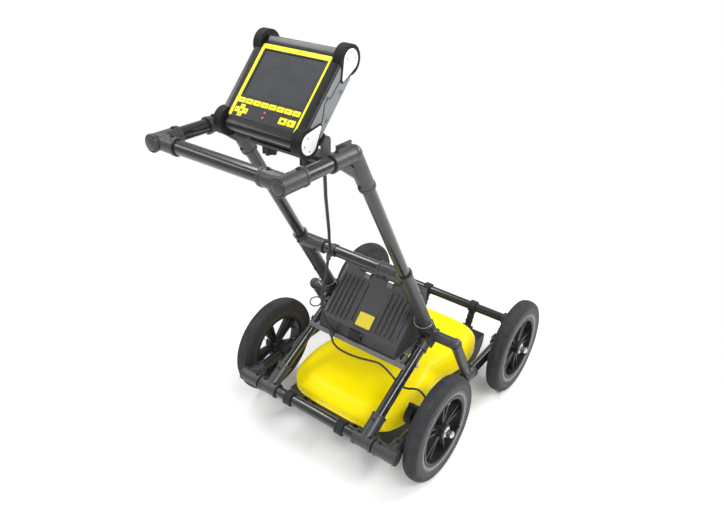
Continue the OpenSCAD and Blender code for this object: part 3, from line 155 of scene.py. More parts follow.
def number(label, words, value, least, most):
    return IntProperty(name=label, description=words, default=value, min=least, max=most)


def colour(label, words, *value):
    return FloatVectorProperty(name=label, description=words, default=value, subtype="COLOR")


class CartSizes(bpy.types.PropertyGroup):
    tread_depth: length("Tread depth", "Depth of the tyre's cuts", 0.0016, 0, 0.004)
    tread_cuts: number("Tread cuts", "Cuts round the tyre", 72, 12, 120)
    sidewall_ribs: number("Sidewall ribs", "Fine ribs round the tyre's shoulder", 90, 12, 160)
    screw_radius: length("Screw radius", "Radius of the fittings' screw heads", 0.0042, 0.001, 0.01)
    lead_radius: length("Lead radius", "Radius of the display lead", 0.004, 0.001, 0.006)


class CartColours(bpy.types.PropertyGroup):
    tube: colour("Tube", "Gloss black tubes", 0.012, 0.012, 0.013)
    moulding: colour("Moulding", "Charcoal fittings", 0.036, 0.0368, 0.039)
    tyre: colour("Tyre", "Grey rubber", 0.022, 0.023, 0.0255)
    cover: colour("Sensor cover", "Bright yellow shell", 0.95, 0.77, 0.0)
    case: colour("Battery case", "Dark grey case", 0.04, 0.04, 0.042)
    tray: colour("Tray", "Light grey tray", 0.15, 0.157, 0.163)
    key: colour("Keys", "Yellow of the keys and the panel", 0.9, 0.83, 0.01)


def sizes():
    return bpy.context.scene.radar_cart_sizes


# Node trees

class Tree:
    """Short hand for a node tree, whose inputs are each set to a value or linked to an output."""

    def __init__(self, tree):
        self.tree = tree

    def feed(self, node, inputs):
        for key, value in inputs.items():
            if isinstance(value, bpy.types.NodeSocket):
                self.tree.links.new(value, node.inputs[key])
            else:
                node.inputs[key].default_value = value

    def add(self, kind, inputs=(), **settings):
        """Adds a node and gives its outputs."""
        node = self.tree.nodes.new(kind)
        for key, value in settings.items():
            setattr(node, key, value)
        self.feed(node, dict(inputs))
        return node.outputs

    def math(self, kind, a, b=0.0):
        return self.add("ShaderNodeMath", {0: a, 1: b}, operation=kind)["Value"]

    def times(self, a, b):
        return self.math("MULTIPLY", a, b)


class Nodes(Tree):
    """Short hand for a material's node tree."""

    def __init__(self, name):
        self.material = bpy.data.materials.new(name)
        self.material.use_nodes = True
        super().__init__(self.material.node_tree)
        self.shader = self.tree.nodes["Principled BSDF"]
        self.place = self.add("ShaderNodeTexCoord")["Object"]

    def noise(self, scale, detail=4.0, rough=0.55, place=None):
        inputs = {"Scale": scale, "Detail": detail, "Roughness": rough, "Vector": place or self.place}
        return self.add("ShaderNodeTexNoise", inputs)["Fac"]

    def mapped(self, location=(0, 0, 0), rotation=(0, 0, 0), scale=(1, 1, 1), place=None):
        inputs = {"Location": location, "Rotation": rotation, "Scale": scale, "Vector": place or self.place}
        return self.add("ShaderNodeMapping", inputs)["Vector"]

    def ranged(self, value, low, high, to_low=0.0, to_high=1.0, smooth=False):
        inputs = {"Value": value, "From Min": low, "From Max": high, "To Min": to_low, "To Max": to_high}
        kind = "SMOOTHSTEP" if smooth else "LINEAR"
        return self.add("ShaderNodeMapRange", inputs, interpolation_type=kind)["Result"]

    def reach(self, a, b):
        return self.math("POWER", self.math("ADD", self.math("POWER", a, 2), self.math("POWER", b, 2)), 0.5)

    def mix(self, factor, a, b):
        a, b = ((*c[:3], 1) if isinstance(c, tuple) else c for c in (a, b))
        return self.add("ShaderNodeMix", {0: factor, 6: a, 7: b}, data_type="RGBA")[2]

    def tint(self, factor, colour, low, high):
        """The colour between two shares of itself."""
        return self.mix(factor, scaled(colour, low), scaled(colour, high))

    def split(self, place):
        return self.add("ShaderNodeSeparateXYZ", {"Vector": place})

    def rounded(self, radius):
        """The normal with edges rounded by radius."""
        return self.add("ShaderNodeBevel", {"Radius": radius}, samples=4)["Normal"]

    def edges(self, normal):
        """A mask of where the rounded normal leaves the true one."""
        true = self.add("ShaderNodeNewGeometry")["Normal"]
        dot = self.add("ShaderNodeVectorMath", {0: normal, 1: true}, operation="DOT_PRODUCT")
        return self.ranged(dot["Value"], 0.86, 0.99, 1.0, 0.0)

    def shade(self, **values):
        """Sets or links the surface's own inputs, with an underscore for each space."""
        self.feed(self.shader, {name.replace("_", " "): value for name, value in values.items()})

    def rough(self, source, low, high):
        self.shade(Roughness=self.ranged(source, 0.3, 0.7, low, high))

    def bump(self, height, strength, distance, normal=None):
        inputs = {"Height": height, "Strength": strength, "Distance": distance}
        if normal:
            inputs["Normal"] = normal
        self.shade(Normal=self.add("ShaderNodeBump", inputs)["Normal"])


# Finishes

def scaled(colour, share):
    return tuple(min(1, c * share) for c in colour[:3])


def moulded(name, colour, rough=0.5, grain=900, depth=0.25, edge=0.0014, worn=0.35, coat=0, shine=0.3):
    """Moulded plastic: fine grain, a little mottle, and edges rubbed paler."""
    n = Nodes(name)
    normal = n.rounded(edge)
    body = n.tint(n.noise(26), colour, 0.86, 1.14)
    rub = n.times(n.edges(normal), n.ranged(n.noise(140), 0.45, 0.7, 0, worn))
    pale = tuple(c + (0.25 - c) * 0.55 if c < 0.25 else min(1, c * 1.15) for c in colour[:3])
    n.shade(Base_Color=n.mix(rub, body, pale), Coat_Weight=coat, Coat_Roughness=0.12, Specular_IOR_Level=shine)
    n.rough(n.noise(55), rough - 0.07, rough + 0.08)
    n.bump(n.noise(grain, 2), depth, 0.0004, normal)
    return n.material


def tube_gloss(name, colour):
    """Gloss black tube with faint drawn lines and hairline scuffs."""
    n = Nodes(name)
    drawn = n.noise(60, 3, 0.5, n.mapped(scale=(14, 14, 1.4)))
    scuff = n.ranged(n.noise(380, 2, 0.6, n.mapped(scale=(1, 6, 6))), 0.62, 0.75)
    n.shade(Base_Color=n.tint(n.times(scuff, 0.15), colour, 1, 4.5), Coat_Weight=0.35, Coat_Roughness=0.08,
            Roughness=n.math("ADD", n.ranged(drawn, 0.3, 0.7, 0.19, 0.24), n.times(scuff, 0.05)))
    n.bump(drawn, 0.004, 0.0005, n.rounded(0.0008))
    return n.material


def bright_steel(name, share=1):
    """Brushed steel, darker where the share is small."""
    n = Nodes(name)
    brushed = n.noise(240, 3, 0.6, n.mapped(scale=(9, 1, 1)))
    dark, bright = (0.52, 0.53, 0.55), (0.78, 0.79, 0.8)
    n.shade(Base_Color=n.mix(brushed, scaled(dark, share), scaled(bright, share)), Metallic=1)
    n.rough(brushed, 0.2, 0.34)
    n.bump(brushed, 0.08, 0.0003, n.rounded(0.0007))
    return n.material


def tyre_rubber(name, colour, hub):
    """Grey rubber about its own hub: dark bead and tread, and a flank painted paler as light on the outer
    face, with a painted highlight ring by the bead, painted shade in its grooves, and kept dark as painted
    shade on the inner face.
    """
    n = Nodes(name)
    x, y, z = n.split(n.mapped(location=tuple(-hub)))
    reach = n.reach(y, z)
    # Painted light: the flank ring is made paler than the rubber to stand for light falling on the sidewall.
    flank = n.times(n.ranged(reach, 0.1034, 0.105), n.ranged(reach, 0.14, 0.145, 1, 0, True))
    # Painted shade: thin dark lines along the sidewall's grooves and ridge, where shade falls.
    for line in (0.1135, 0.1166, 0.1398):
        off = n.math("ABSOLUTE", n.math("SUBTRACT", reach, line))
        flank = n.times(flank, n.ranged(off, 0.0005, 0.0016, 0.25, 1))
    # Painted shade: the flank stays dark on the inner face, so the outer face reads lit and the inner one
    # shaded.
    outer = n.ranged(n.times(x, 1 if hub.x > 0 else -1), -0.004, 0.004, 0.15, 1)
    dust = n.times(n.ranged(reach, 0.146, 0.1522), n.ranged(n.noise(34), 0.35, 0.75, 0, 0.8))
    plain = n.tint(n.noise(48), colour, 0.8, 1.25)
    # Painted highlight: a pale grey ring next to the bead, with mid grey further out.
    grey = n.mix(n.ranged(reach, 0.115, 0.119), (0.2, 0.208, 0.214), (0.055, 0.057, 0.06))
    pale = n.mix(n.times(flank, outer), plain, grey)
    n.shade(Base_Color=n.mix(n.times(dust, 0.35), pale, (0.1, 0.1, 0.098)), Specular_IOR_Level=0.25)
    n.rough(n.noise(70), 0.56, 0.78)
    n.bump(n.noise(700, 3), 0.3, 0.0005)
    return n.material


def cover_yellow(name, colour):
    """Glossy moulded yellow, a little uneven in tone, with a painted highlight along its paler rim, lightly
    marked by use.
    """
    n = Nodes(name)
    low = n.ranged(n.split(n.place)[2], 0.098, 0.112, 1, 0, True)
    warm = n.tint(n.noise(5, 3), colour, 0.9, 1.05)
    # Painted highlight: the low rim band is mixed towards pale yellow to stand for light on its rounded edge.
    rim = n.mix(n.times(low, 0.3), warm, (1, 0.86, 0.12))
    marks = n.ranged(n.noise(240, 3, 0.7, n.mapped(scale=(1, 0.12, 1))), 0.66, 0.78, 0, 0.35)
    n.shade(Base_Color=n.mix(marks, rim, (0.62, 0.44, 0.02)), Specular_IOR_Level=0.14)
    n.rough(n.noise(38), 0.3, 0.44)
    n.bump(n.noise(420, 2), 0.1, 0.0005)
    return n.material


def wear_plate(name):
    """Black sled, dragged along the ground: grey scratches run fore and aft and thicken below."""
    n = Nodes(name)
    drag = n.noise(130, 4, 0.7, n.mapped(scale=(6, 0.15, 3)))
    low = n.ranged(n.split(n.place)[2], 0.014, 0.05, 1, 0.15)
    scratch = n.times(n.ranged(drag, 0.55, 0.75), low)
    n.shade(Base_Color=n.mix(scratch, (0.014, 0.014, 0.015), (0.12, 0.12, 0.12)))
    n.rough(drag, 0.42, 0.66)
    n.bump(drag, 0.25, 0.0006, n.rounded(0.002))
    return n.material


def panel_film(name, key_colour):
    """Face panel: black film with yellow bands down both sides and across the top, inside a black rim."""
    n = Nodes(name)
    shifted = n.mapped(location=tuple(-on_display(0, 0, 0)))
    u, v, _ = n.split(n.mapped(rotation=(-TILT, 0, 0), place=shifted))

    def beyond(value, limit):
        return n.math("GREATER_THAN", value, limit)

    side = n.math("MAXIMUM", n.math("LESS_THAN", u, -0.0822), beyond(u, 0.0856))
    band = n.math("MAXIMUM", side, beyond(v, 0.0726))
    rim = n.math("MAXIMUM", beyond(n.math("ABSOLUTE", u), 0.0904), beyond(n.math("ABSOLUTE", v), 0.0829))
    tint = n.tint(n.noise(40), key_colour, 0.95, 1)
    n.shade(Base_Color=n.mix(n.math("SUBTRACT", band, rim), (0.011, 0.01, 0.0125), tint))
    n.rough(n.noise(60), 0.32, 0.46)
    n.bump(n.noise(1500, 2), 0.12, 0.0002)
    return n.material


def screen_glass(name):
    """Dark screen under glass, with the faint smears of a hand."""
    n = Nodes(name)
    smear = n.noise(22, 3, 0.6, n.mapped(rotation=(TILT, 0, 0.6), scale=(1, 3, 1)))
    n.shade(Base_Color=n.mix(smear, (0.026, 0.03, 0.036), (0.046, 0.05, 0.056)), Coat_Weight=0.8,
            Coat_Roughness=0.04, IOR=1.5, Roughness=n.ranged(smear, 0.35, 0.7, 0.1, 0.2))
    return n.material


def coloured(name, colour, rough=0.35, grain=1200, coat=0.2):
    """Small moulded or printed parts: keys, lamps, marks and plates."""
    n = Nodes(name)
    n.shade(Base_Color=n.tint(n.noise(90), colour, 0.9, 1.05), Coat_Weight=coat, Coat_Roughness=0.1)
    n.rough(n.noise(160), rough - 0.05, rough + 0.07)
    n.bump(n.noise(grain, 2), 0.1, 0.0002)
    return n.material


def painted(name, colour):
    """Powder-coated tray: fine orange peel, chipped a little along its edges."""
    n = Nodes(name)
    normal = n.rounded(0.0012)
    chips = n.times(n.edges(normal), n.ranged(n.noise(210), 0.5, 0.62, 0, 0.7))
    coat = n.tint(n.noise(30), colour, 0.92, 1.06)
    n.shade(Base_Color=n.mix(chips, coat, (0.16, 0.16, 0.165)))
    n.rough(n.noise(80), 0.36, 0.5)
    n.bump(n.noise(520, 2), 0.18, 0.0004, normal)
    return n.material


def circuit_board(name):
    """Green board with fine gold lines between its fields."""
    n = Nodes(name)
    grid = n.add("ShaderNodeTexBrick", {
        "Vector": n.place, "Scale": 60, "Color1": (0.02, 0.16, 0.06, 1), "Color2": (0.03, 0.2, 0.08, 1),
        "Mortar": (0.3, 0.26, 0.08, 1), "Mortar Size": 0.02})
    n.shade(Base_Color=grid["Color"])
    n.rough(n.noise(90), 0.35, 0.5)
    return n.material


FINISH = {}


def finishes(c):
    """Every finish in the colours c, with the CAD nodes that wear it."""
    return {
        "tube": (tube_gloss("tube_gloss_black", c.tube),
                 "cross_tubes side_rails braces leg_tubes leg_cross_tube arm_tubes handlebar"),
        "moulding": (moulded("moulding_charcoal", c.moulding, 0.36, shine=0.55),
                     "corner_fittings rear_tees knuckles leg_sleeves top_brackets handlebar_elbows "
                     "display_shelf display_yoke"),
        "block": (moulded("block_black", scaled(c.moulding, 0.4), 0.46),
                  "axle_blocks odometer_housing tray_knobs display_knob_left display_knob_right case_latch"),
        "rim": (moulded("rim_black", (0.014, 0.014, 0.015), 0.4, 600, 0.15),
                " ".join("rim_" + w for w in WHEELS)),
        "steel": (bright_steel("bright_steel"), "axle_pins fold_pins odometer_shaft"),
        "wire": (bright_steel("wire_steel", 0.4), "lock_pins"),
        "case": (moulded("case_grey", c.case, 0.42, 520, 0.4, 0.002, 0.5, shine=0.45), "case_base case_lid"),
        "tray": (painted("tray_paint", c.tray), "case_tray"),
        "cover": (cover_yellow("cover_yellow", c.cover), "sensor_shell"),
        "sled": (wear_plate("sled_black"), "sensor_sled"),
        "display": (moulded("display_black", (0.006, 0.006, 0.007), 0.4, 1100, 0.12, worn=0.1, coat=0.35,
                            shine=0.25), "display_front_case display_back_case"),
        "flank": (moulded("flank_grey", (0.2, 0.21, 0.218), 0.46, 1100, 0.2, 0.0014, 0.2), ""),
        "bumper": (moulded("bumper_rubber", (0.01, 0.01, 0.011), 0.58, 700, 0.35, 0.003, shine=0.2),
                   "display_bumpers"),
        "glass": (screen_glass("screen_glass"), "screen_panel"),
        "panel": (panel_film("panel_film", c.key), "keypad_panel"),
        "key": (coloured("key_yellow", c.key), " ".join(KEYS)),
        "mark": (coloured("mark_black", (0.012, 0.012, 0.012), 0.5), ""),
        "lamp": (coloured("lamp_red", (0.62, 0.16, 0.17), 0.22, 800, 0.6), "status_lamps"),
        "plate": (coloured("plate_yellow", (0.68, 0.55, 0.015), 0.4), ""),
        "insert": (coloured("insert_white", (0.82, 0.83, 0.84), 0.42), ""),
        "lead": (moulded("lead_black", (0.03, 0.03, 0.032), 0.5, 1400, 0.25, 0.0006, 0.1),
                 "odometer_cable display_cable"),
        "strap": (moulded("strap_black", (0.016, 0.016, 0.018), 0.55, 1000, 0.4), "hanger_straps"),
        "board": (circuit_board("board_green"), "antenna_boards"),
        "battery": (moulded("battery_black", (0.02, 0.02, 0.022), 0.45), "battery_pack"),
        **{"tyre_" + w: (tyre_rubber("tyre_rubber_" + w, c.tyre, HUBS[w]), "tyre_" + w) for w in WHEELS},
    }


# Mesh building

def placed(name, data):
    item = bpy.data.objects.new(name, data)
    bpy.context.scene.collection.objects.link(item)
    return item


def circle(count, radius=1.0, start=0.0):
    turns = [start + 2 * pi * k / count for k in range(count)]
    return [(radius * cos(a), radius * sin(a)) for a in turns]


def mirrored(half):
    """A section that is the same on both sides of its middle."""
    return [(r, -z) for r, z in half] + half[::-1]


class BuildMesh:
    """A mesh in the making, which ends as a piece on its body."""

    def __init__(self):
        self.bm = bmesh.new()
        self.point = self.bm.verts.new
        self.face = self.bm.faces.new

    def piece(self, name, finish, slot, body=None, sharp=38, replaces=()):
        """Makes an object of the mesh, shaded smooth up to the sharp angle, and puts it on its body."""
        bmesh.ops.remove_doubles(self.bm, verts=self.bm.verts, dist=1e-6)
        bmesh.ops.recalc_face_normals(self.bm, faces=self.bm.faces)
        limit = radians(sharp)
        for face in self.bm.faces:
            face.smooth = True
        for edge in self.bm.edges:
            edge.smooth = len(edge.link_faces) != 2 or edge.calc_face_angle(0) < limit
        mesh = bpy.data.meshes.new(name)
        self.bm.to_mesh(mesh)
        self.bm.free()
        piece = placed(name, mesh)
        mesh.materials.append(FINISH[finish])
        if body:
            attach(piece, body)
        if replaces:
            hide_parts(*replaces)
        return piece

    def bridge(self, levels, ends=True, back=False):
        """Joins each ring of points to the next; may close the ends, or lead back to the first ring."""
        rings = [[self.point(p) for p in level] for level in levels]
        for a, b in zip(rings, rings[1:] + rings[:1] if back else rings[1:]):
            for i in range(len(a)):
                j = (i + 1) % len(a)
                self.face((a[i], a[j], b[j], b[i]))
        if ends:
            self.face(rings[0])
            self.face(rings[-1])
        return rings

    def lathe(self, profile, matrix, segments, closed=True, shape=None):
        """Turns a profile of (radius, height) about Z, then places it; shape may move each point."""
        rings = []
        for k, (c, s) in enumerate(circle(segments)):
            moved = [shape(k, i, r, z) for i, (r, z) in enumerate(profile)] if shape else profile
            rings.append([self.point(matrix @ Vector((r * c, r * s, z))) for r, z in moved])
        count = len(profile)
        for a, b in zip(rings, rings[1:] + rings[:1]):
            for i in range(count if closed else count - 1):
                j = (i + 1) % count
                self.face((a[i], b[i], b[j], a[j]))
        if not closed:
            self.face([ring[0] for ring in rings])
            self.face([ring[-1] for ring in rings])

    def prism(self, outline, depth, matrix, inset=0.0):
        """Raises an outline by depth, with its top edge drawn in by inset for a soft rim."""
        cx, cy = (sum(p[q] for p in outline) / len(outline) for q in (0, 1))
        levels = [(0.0, 1.0), (depth, 1.0)]
        if inset:
            size = max(hypot(x - cx, y - cy) for x, y in outline)
            levels = [(0.0, 1.0), (depth - inset * 0.8, 1.0), (depth, 1 - inset / size)]
        self.bridge([[matrix @ Vector((cx + (x - cx) * s, cy + (y - cy) * s, z)) for x, y in outline]
                     for z, s in levels])

    def tube(self, points, radius, sides=12, tip=None):
        """Sweeps a round section along points; tip gives a second radius at the far end."""
        last = len(points) - 1
        ahead = [(points[min(i + 1, last)] - points[max(i - 1, 0)]).normalized() for i in range(last + 1)]
        side = ahead[0].orthogonal().normalized()
        levels = []
        for i, point in enumerate(points):
            side = (side - ahead[i] * side.dot(ahead[i])).normalized()
            other = ahead[i].cross(side)
            r = radius if tip is None else radius + (tip - radius) * i / last
            levels.append([point + r * (c * side + s * other) for c, s in circle(sides)])
        self.bridge(levels)


def rounded_outline(w, h, r, steps=6):
    points = []
    for cx, cy, start in ((w / 2 - r, h / 2 - r, 0), (r - w / 2, h / 2 - r, 90),
                          (r - w / 2, r - h / 2, 180), (w / 2 - r, r - h / 2, 270)):
        for k in range(steps + 1):
            a = radians(start + 90 * k / steps)
            points.append((cx + r * cos(a), cy + r * sin(a)))
    return points


def across(point, facing):
    """A matrix at point whose Z looks along facing."""
    return Matrix.Translation(point) @ Vector(facing).to_track_quat("Z", "Y").to_matrix().to_4x4()


def spline(points, steps):
    """A smooth line through the points, with so many steps to each stretch."""
    last = len(points) - 1
    fine = []
    for i in range(last):
        a, b, c, d = points[max(i - 1, 0)], points[i], points[i + 1], points[min(i + 2, last)]
        for t in (k / steps for k in range(steps)):
            fine.append(0.5 * (2 * b + (c - a) * t + (2 * a - 5 * b + 4 * c - d) * t * t
                               + (3 * b - a - 3 * c + d) * t ** 3))
    return fine + [points[-1]]


# Geometry Nodes for what repeats

class Repeat(Tree):
    """A tree that sets one mesh on many points, with its own sizes as inputs."""

    def __init__(self, name, inputs):
        super().__init__(bpy.data.node_groups.new(name, "GeometryNodeTree"))
        new_socket = self.tree.interface.new_socket
        for way in ("INPUT", "OUTPUT"):
            new_socket("Geometry", in_out=way, socket_type="NodeSocketGeometry")
        for label, value in inputs.items():
            kind = "NodeSocketInt" if isinstance(value, int) else "NodeSocketFloat"
            new_socket(label, in_out="INPUT", socket_type=kind).default_value = value
        self.given = self.add("NodeGroupInput")

    def spread(self, points, instance, axis, facing, finish):
        """Sets the instance on the points, its axis turned to facing, and ends the tree."""
        turn = self.add("FunctionNodeAlignRotationToVector", {"Vector": facing}, axis=axis)["Rotation"]
        inputs = {"Points": points, "Instance": instance, "Rotation": turn}
        many = self.add("GeometryNodeInstanceOnPoints", inputs)["Instances"]
        real = self.add("GeometryNodeRealizeInstances", {"Geometry": many})["Geometry"]
        paint = self.add("GeometryNodeSetMaterial", {"Geometry": real, "Material": FINISH[finish]})
        self.add("NodeGroupOutput", {"Geometry": paint["Geometry"]})
        return self.tree


def screw_tree(radius, height, finish):
    """A tree that sets a socket-head screw on each point, turned to the point's facing."""
    socket_share, socket_depth = 0.56, 0.6
    t = Repeat("screw_heads", {"Head radius": radius, "Head height": height})
    radius, height = t.given["Head radius"], t.given["Head height"]
    head = t.add("GeometryNodeMeshCylinder", {"Vertices": 20, "Radius": radius, "Depth": height})
    rim = t.add("GeometryNodeExtrudeMesh", {
        "Mesh": head["Mesh"], "Selection": head["Top"], "Offset Scale": 0.0})
    drawn = t.add("GeometryNodeScaleElements", {
        "Geometry": rim["Mesh"], "Selection": rim["Top"], "Scale": socket_share})
    sunk = t.add("GeometryNodeExtrudeMesh", {
        "Mesh": drawn["Geometry"], "Selection": rim["Top"], "Offset Scale": t.times(height, -socket_depth)})
    facing = t.add("GeometryNodeInputNamedAttribute", {"Name": "facing"}, data_type="FLOAT_VECTOR")
    return t.spread(t.given["Geometry"], sunk["Mesh"], "Z", facing["Attribute"], finish)


def shoulder_tree(finish):
    """A tree that sets a fine rib at each step round a circle, each lying outwards from the middle."""
    t = Repeat("shoulder_ribs", {
        "Count": sizes().sidewall_ribs, "Radius": 0.1355, "Rib length": 0.009, "Rib width": 0.0014})
    length, width = t.given["Rib length"], t.given["Rib width"]
    ring = t.add("GeometryNodeMeshCircle", {"Vertices": t.given["Count"], "Radius": t.given["Radius"]})
    size = t.add("ShaderNodeCombineXYZ", {"X": length, "Y": width, "Z": width})
    rib = t.add("GeometryNodeMeshCube", {"Size": size["Vector"]})
    return t.spread(ring["Mesh"], rib["Mesh"], "X", t.add("GeometryNodeInputPosition")["Position"], finish)


def grown(name, mesh, tree, matrix, body):
    """Runs a tree on a mesh, keeps the result as a plain mesh and puts it on its body."""
    holder = placed(name + "_source", mesh)
    holder.modifiers.new("repeat", "NODES").node_group = tree
    graph = bpy.context.evaluated_depsgraph_get()
    graph.update()
    result = bpy.data.meshes.new_from_object(holder.evaluated_get(graph), depsgraph=graph)
    bpy.data.objects.remove(holder)
    result.transform(matrix)
    result.name = name
    piece = placed(name, result)
    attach(piece, body)


def screws(name, spots, radius, height, finish, body):
    """Screw heads at (point, facing) spots of one body, half sunk in their seats."""
    mesh = bpy.data.meshes.new(name + "_points")
    mesh.from_pydata([tuple(p) for p, _ in spots], [], [])
    facing = mesh.attributes.new("facing", "FLOAT_VECTOR", "POINT")
    for i, (_, f) in enumerate(spots):
        facing.data[i].vector = f
    grown(name, mesh, screw_tree(radius, height, finish), Matrix.Identity(4), body)


# Pieces, each group with its operator

class CART_OT_finishes(bpy.types.Operator):
    """Gives every CAD node its finish"""
    bl_idname = "radar_cart.finishes"
    bl_label = "Finishes"

    def execute(self, context):
        for finish, (material, names) in finishes(context.scene.radar_cart_colours).items():
            FINISH[finish] = material
            for name in names.split():
                NODES[name].data.materials.clear()
                NODES[name].data.materials.append(material)
        return {"FINISHED"}


def tyre(w, place):
    """The tyre's section, with zigzag cuts and two grooves in its crown."""
    low, high = corners("tyre_" + w)
    reach, half = (high.z - low.z) / 2, (high.x - low.x) / 2 - 0.0002
    bead, crown_drop = 0.1032, 0.0052
    flank = [(bead, 0.84), (0.1065, 0.914), (0.112, 0.94), (0.1145, 0.978), (0.1165, 0.948), (0.123, 0.978),
             (0.131, 0.996), (0.137, 0.985), (0.1405, 0.951), (0.1415, 0.918), (0.1435, 0.888)]
    profile = [(r, -half * share) for r, share in flank]
    steps, edge = 12, half * 0.8
    for i in range(steps + 1):
        z = edge * (2 * i / steps - 1)
        profile.append((reach - 0.0003 - crown_drop * (abs(z) / edge) ** 2.4, z))
    profile += [(r, half * share) for r, share in reversed(flank)] + [(bead, 0.0)]
    cuts, depth = sizes().tread_cuts, sizes().tread_depth

    def tread(k, i, r, z):
        j = i - len(flank)
        if j in (3, steps - 3):
            return r - depth * 1.3, z
        zig = int(abs(j - steps / 2) // 1.5)
        if 1 < j < steps - 1 and (k + zig) % 4 == 0:
            return r - depth, z
        return r, z

    bm = BuildMesh()
    bm.lathe(profile, place, cuts * 4, True, tread)
    bm.piece("tyre_rubber_" + w, "tyre_" + w, "tyre", "wheel_" + w, 50, ["tyre_" + w])


def lips(w, place):
    """The rim's rolled lips, the hub's collars and the valve with its cap."""
    lip = [(0.0938, -0.004), (0.0945, 0), (0.0975, 0.0016), (0.1015, 0.001), (0.1031, -0.002),
           (0.1031, -0.004)]
    collar = [(0.0155, -0.003), (0.0155, 0), (0.0165, 0.0003), (0.0185, -0.0002), (0.0205, -0.0015),
              (0.021, -0.005)]
    bm = BuildMesh()
    for profile, z, segments in ((lip, 0.0192, 96), (collar, 0.023, 48)):
        for s in (1, -1):
            bm.lathe([(r, s * (z + rise)) for r, rise in profile], place, segments)
    stem = place @ Matrix.Rotation(radians(36), 4, "Z")
    points = [stem @ Vector((0.0935 - 0.0012 * k, 0, 0.002 + 0.0032 * k)) for k in range(8)]
    bm.tube(points, 0.0034, 12, 0.0027)
    bm.tube([points[-3] + (points[-1] - points[-3]) * t for t in (0, 0.5, 1.25)], 0.0036)
    bm.piece("rim_lips_" + w, "rim", "rim", "wheel_" + w)


class CART_OT_wheels(bpy.types.Operator):
    """Tyres with their tread and beads, shoulder ribs, rim lips and valves"""
    bl_idname = "radar_cart.wheels"
    bl_label = "Wheels"

    def execute(self, context):
        for w in WHEELS:
            side = 1 if HUBS[w].x > 0 else -1
            place = Matrix.Translation(HUBS[w]) @ Matrix.Rotation(side * pi / 2, 4, "Y")
            tyre(w, place)
            lips(w, place @ Matrix.Rotation(radians(SPOKE_TURN[w]), 4, "Z"))
            ribs = shoulder_tree("tyre_" + w)
            for face, z in (("outer", 0.0223), ("inner", -0.0223)):
                grown("shoulder_ribs_%s_%s" % (face, w), bpy.data.meshes.new("shoulder"), ribs,
                      place @ Matrix.Translation((0, 0, z)), "wheel_" + w)
        return {"FINISHED"}


def sensor_cover():
    """The cover in rings: up the grooved rim, over the dome, and across the crown to its middle."""
    low, high = corners("sensor_shell")
    centre = (low + high) / 2
    half_w, half_l = 0.196, (high.y - low.y) / 2
    rim, inset, sunk, square = 0.024, 0.042, 0.0012, 0.4
    dome = high.z - low.z - rim
    levels = [(0.0, 0.0), (0.0, 0.0075), (0.0024, 0.009), (0.0024, 0.0115), (0.0003, 0.013), (0.0, rim)]
    points, bands, crowns = 168, 34, 9

    def waist(y):
        return 0.026 * exp(-((y - 0.008) / 0.075) ** 2)

    def squared(value):
        return copysign(abs(value) ** square, value)

    def ring(shrink, rise, t=0.0):
        """One ring of the cover, up its rim or at t degrees up its dome."""
        made = []
        for c, s in circle(points):
            y = (half_l - shrink) * squared(s)
            x = (half_w - shrink - waist(y)) * squared(c)
            z = rise
            if t > 0:
                drop = 1 - (0.1 if y > 0 else 0.35) * (y / half_l) ** 2
                step = min(1.0, max(0.0, (t - 52) / 6))
                z = rim + dome * sin(radians(t)) * drop - sunk * (1 - step) * min(1, t / 30)
            made.append(Vector((centre.x + x, centre.y + y, low.z + z)))
        return made

    rings = [ring(shrink, rise) for shrink, rise in levels]
    for i in range(1, bands + 1):
        t = 90 * i / bands
        rings.append(ring(inset * (1 - cos(radians(t))), 0.0, t))
    brow = rings[-1]
    for j in range(1, crowns):
        share = 1 - j / crowns
        rings.append([Vector((centre.x + (p.x - centre.x) * share, centre.y + (p.y - centre.y) * share,
                              p.z + (high.z - p.z) * (1 - share ** 2))) for p in brow])
    bm = BuildMesh()
    rings = bm.bridge(rings, False)
    bm.face(rings[0])
    top = bm.point((centre.x, centre.y, high.z))
    for k in range(points):
        bm.face((rings[-1][k], rings[-1][(k + 1) % points], top))
    bm.piece("sensor_cover", "cover", "shell", "sensor", 50, ["sensor_shell"])
    z, shares, proud = low.z + 0.0175, (-0.6, -0.2, 0.2, 0.6), 0.0004
    spots = [(Vector((centre.x + q * half_w, centre.y + s * (half_l + proud), z)), (0, s, 0))
             for q in shares for s in (1, -1)]
    for q in shares:
        side = (half_w - waist(q * half_l)) * sqrt(1 - abs(q) ** 5) ** square + proud
        spots += [(Vector((centre.x + s * side, centre.y + q * half_l, z)), (s, 0, 0)) for s in (1, -1)]
    screws("cover_screws", spots, 0.0032, 0.0016, "steel", "sensor")


class CART_OT_sensor(bpy.types.Operator):
    """The sensor's smooth yellow cover, with its rim, groove and raised crown"""
    bl_idname = "radar_cart.sensor"
    bl_label = "Sensor cover"

    def execute(self, context):
        sensor_cover()
        return {"FINISHED"}


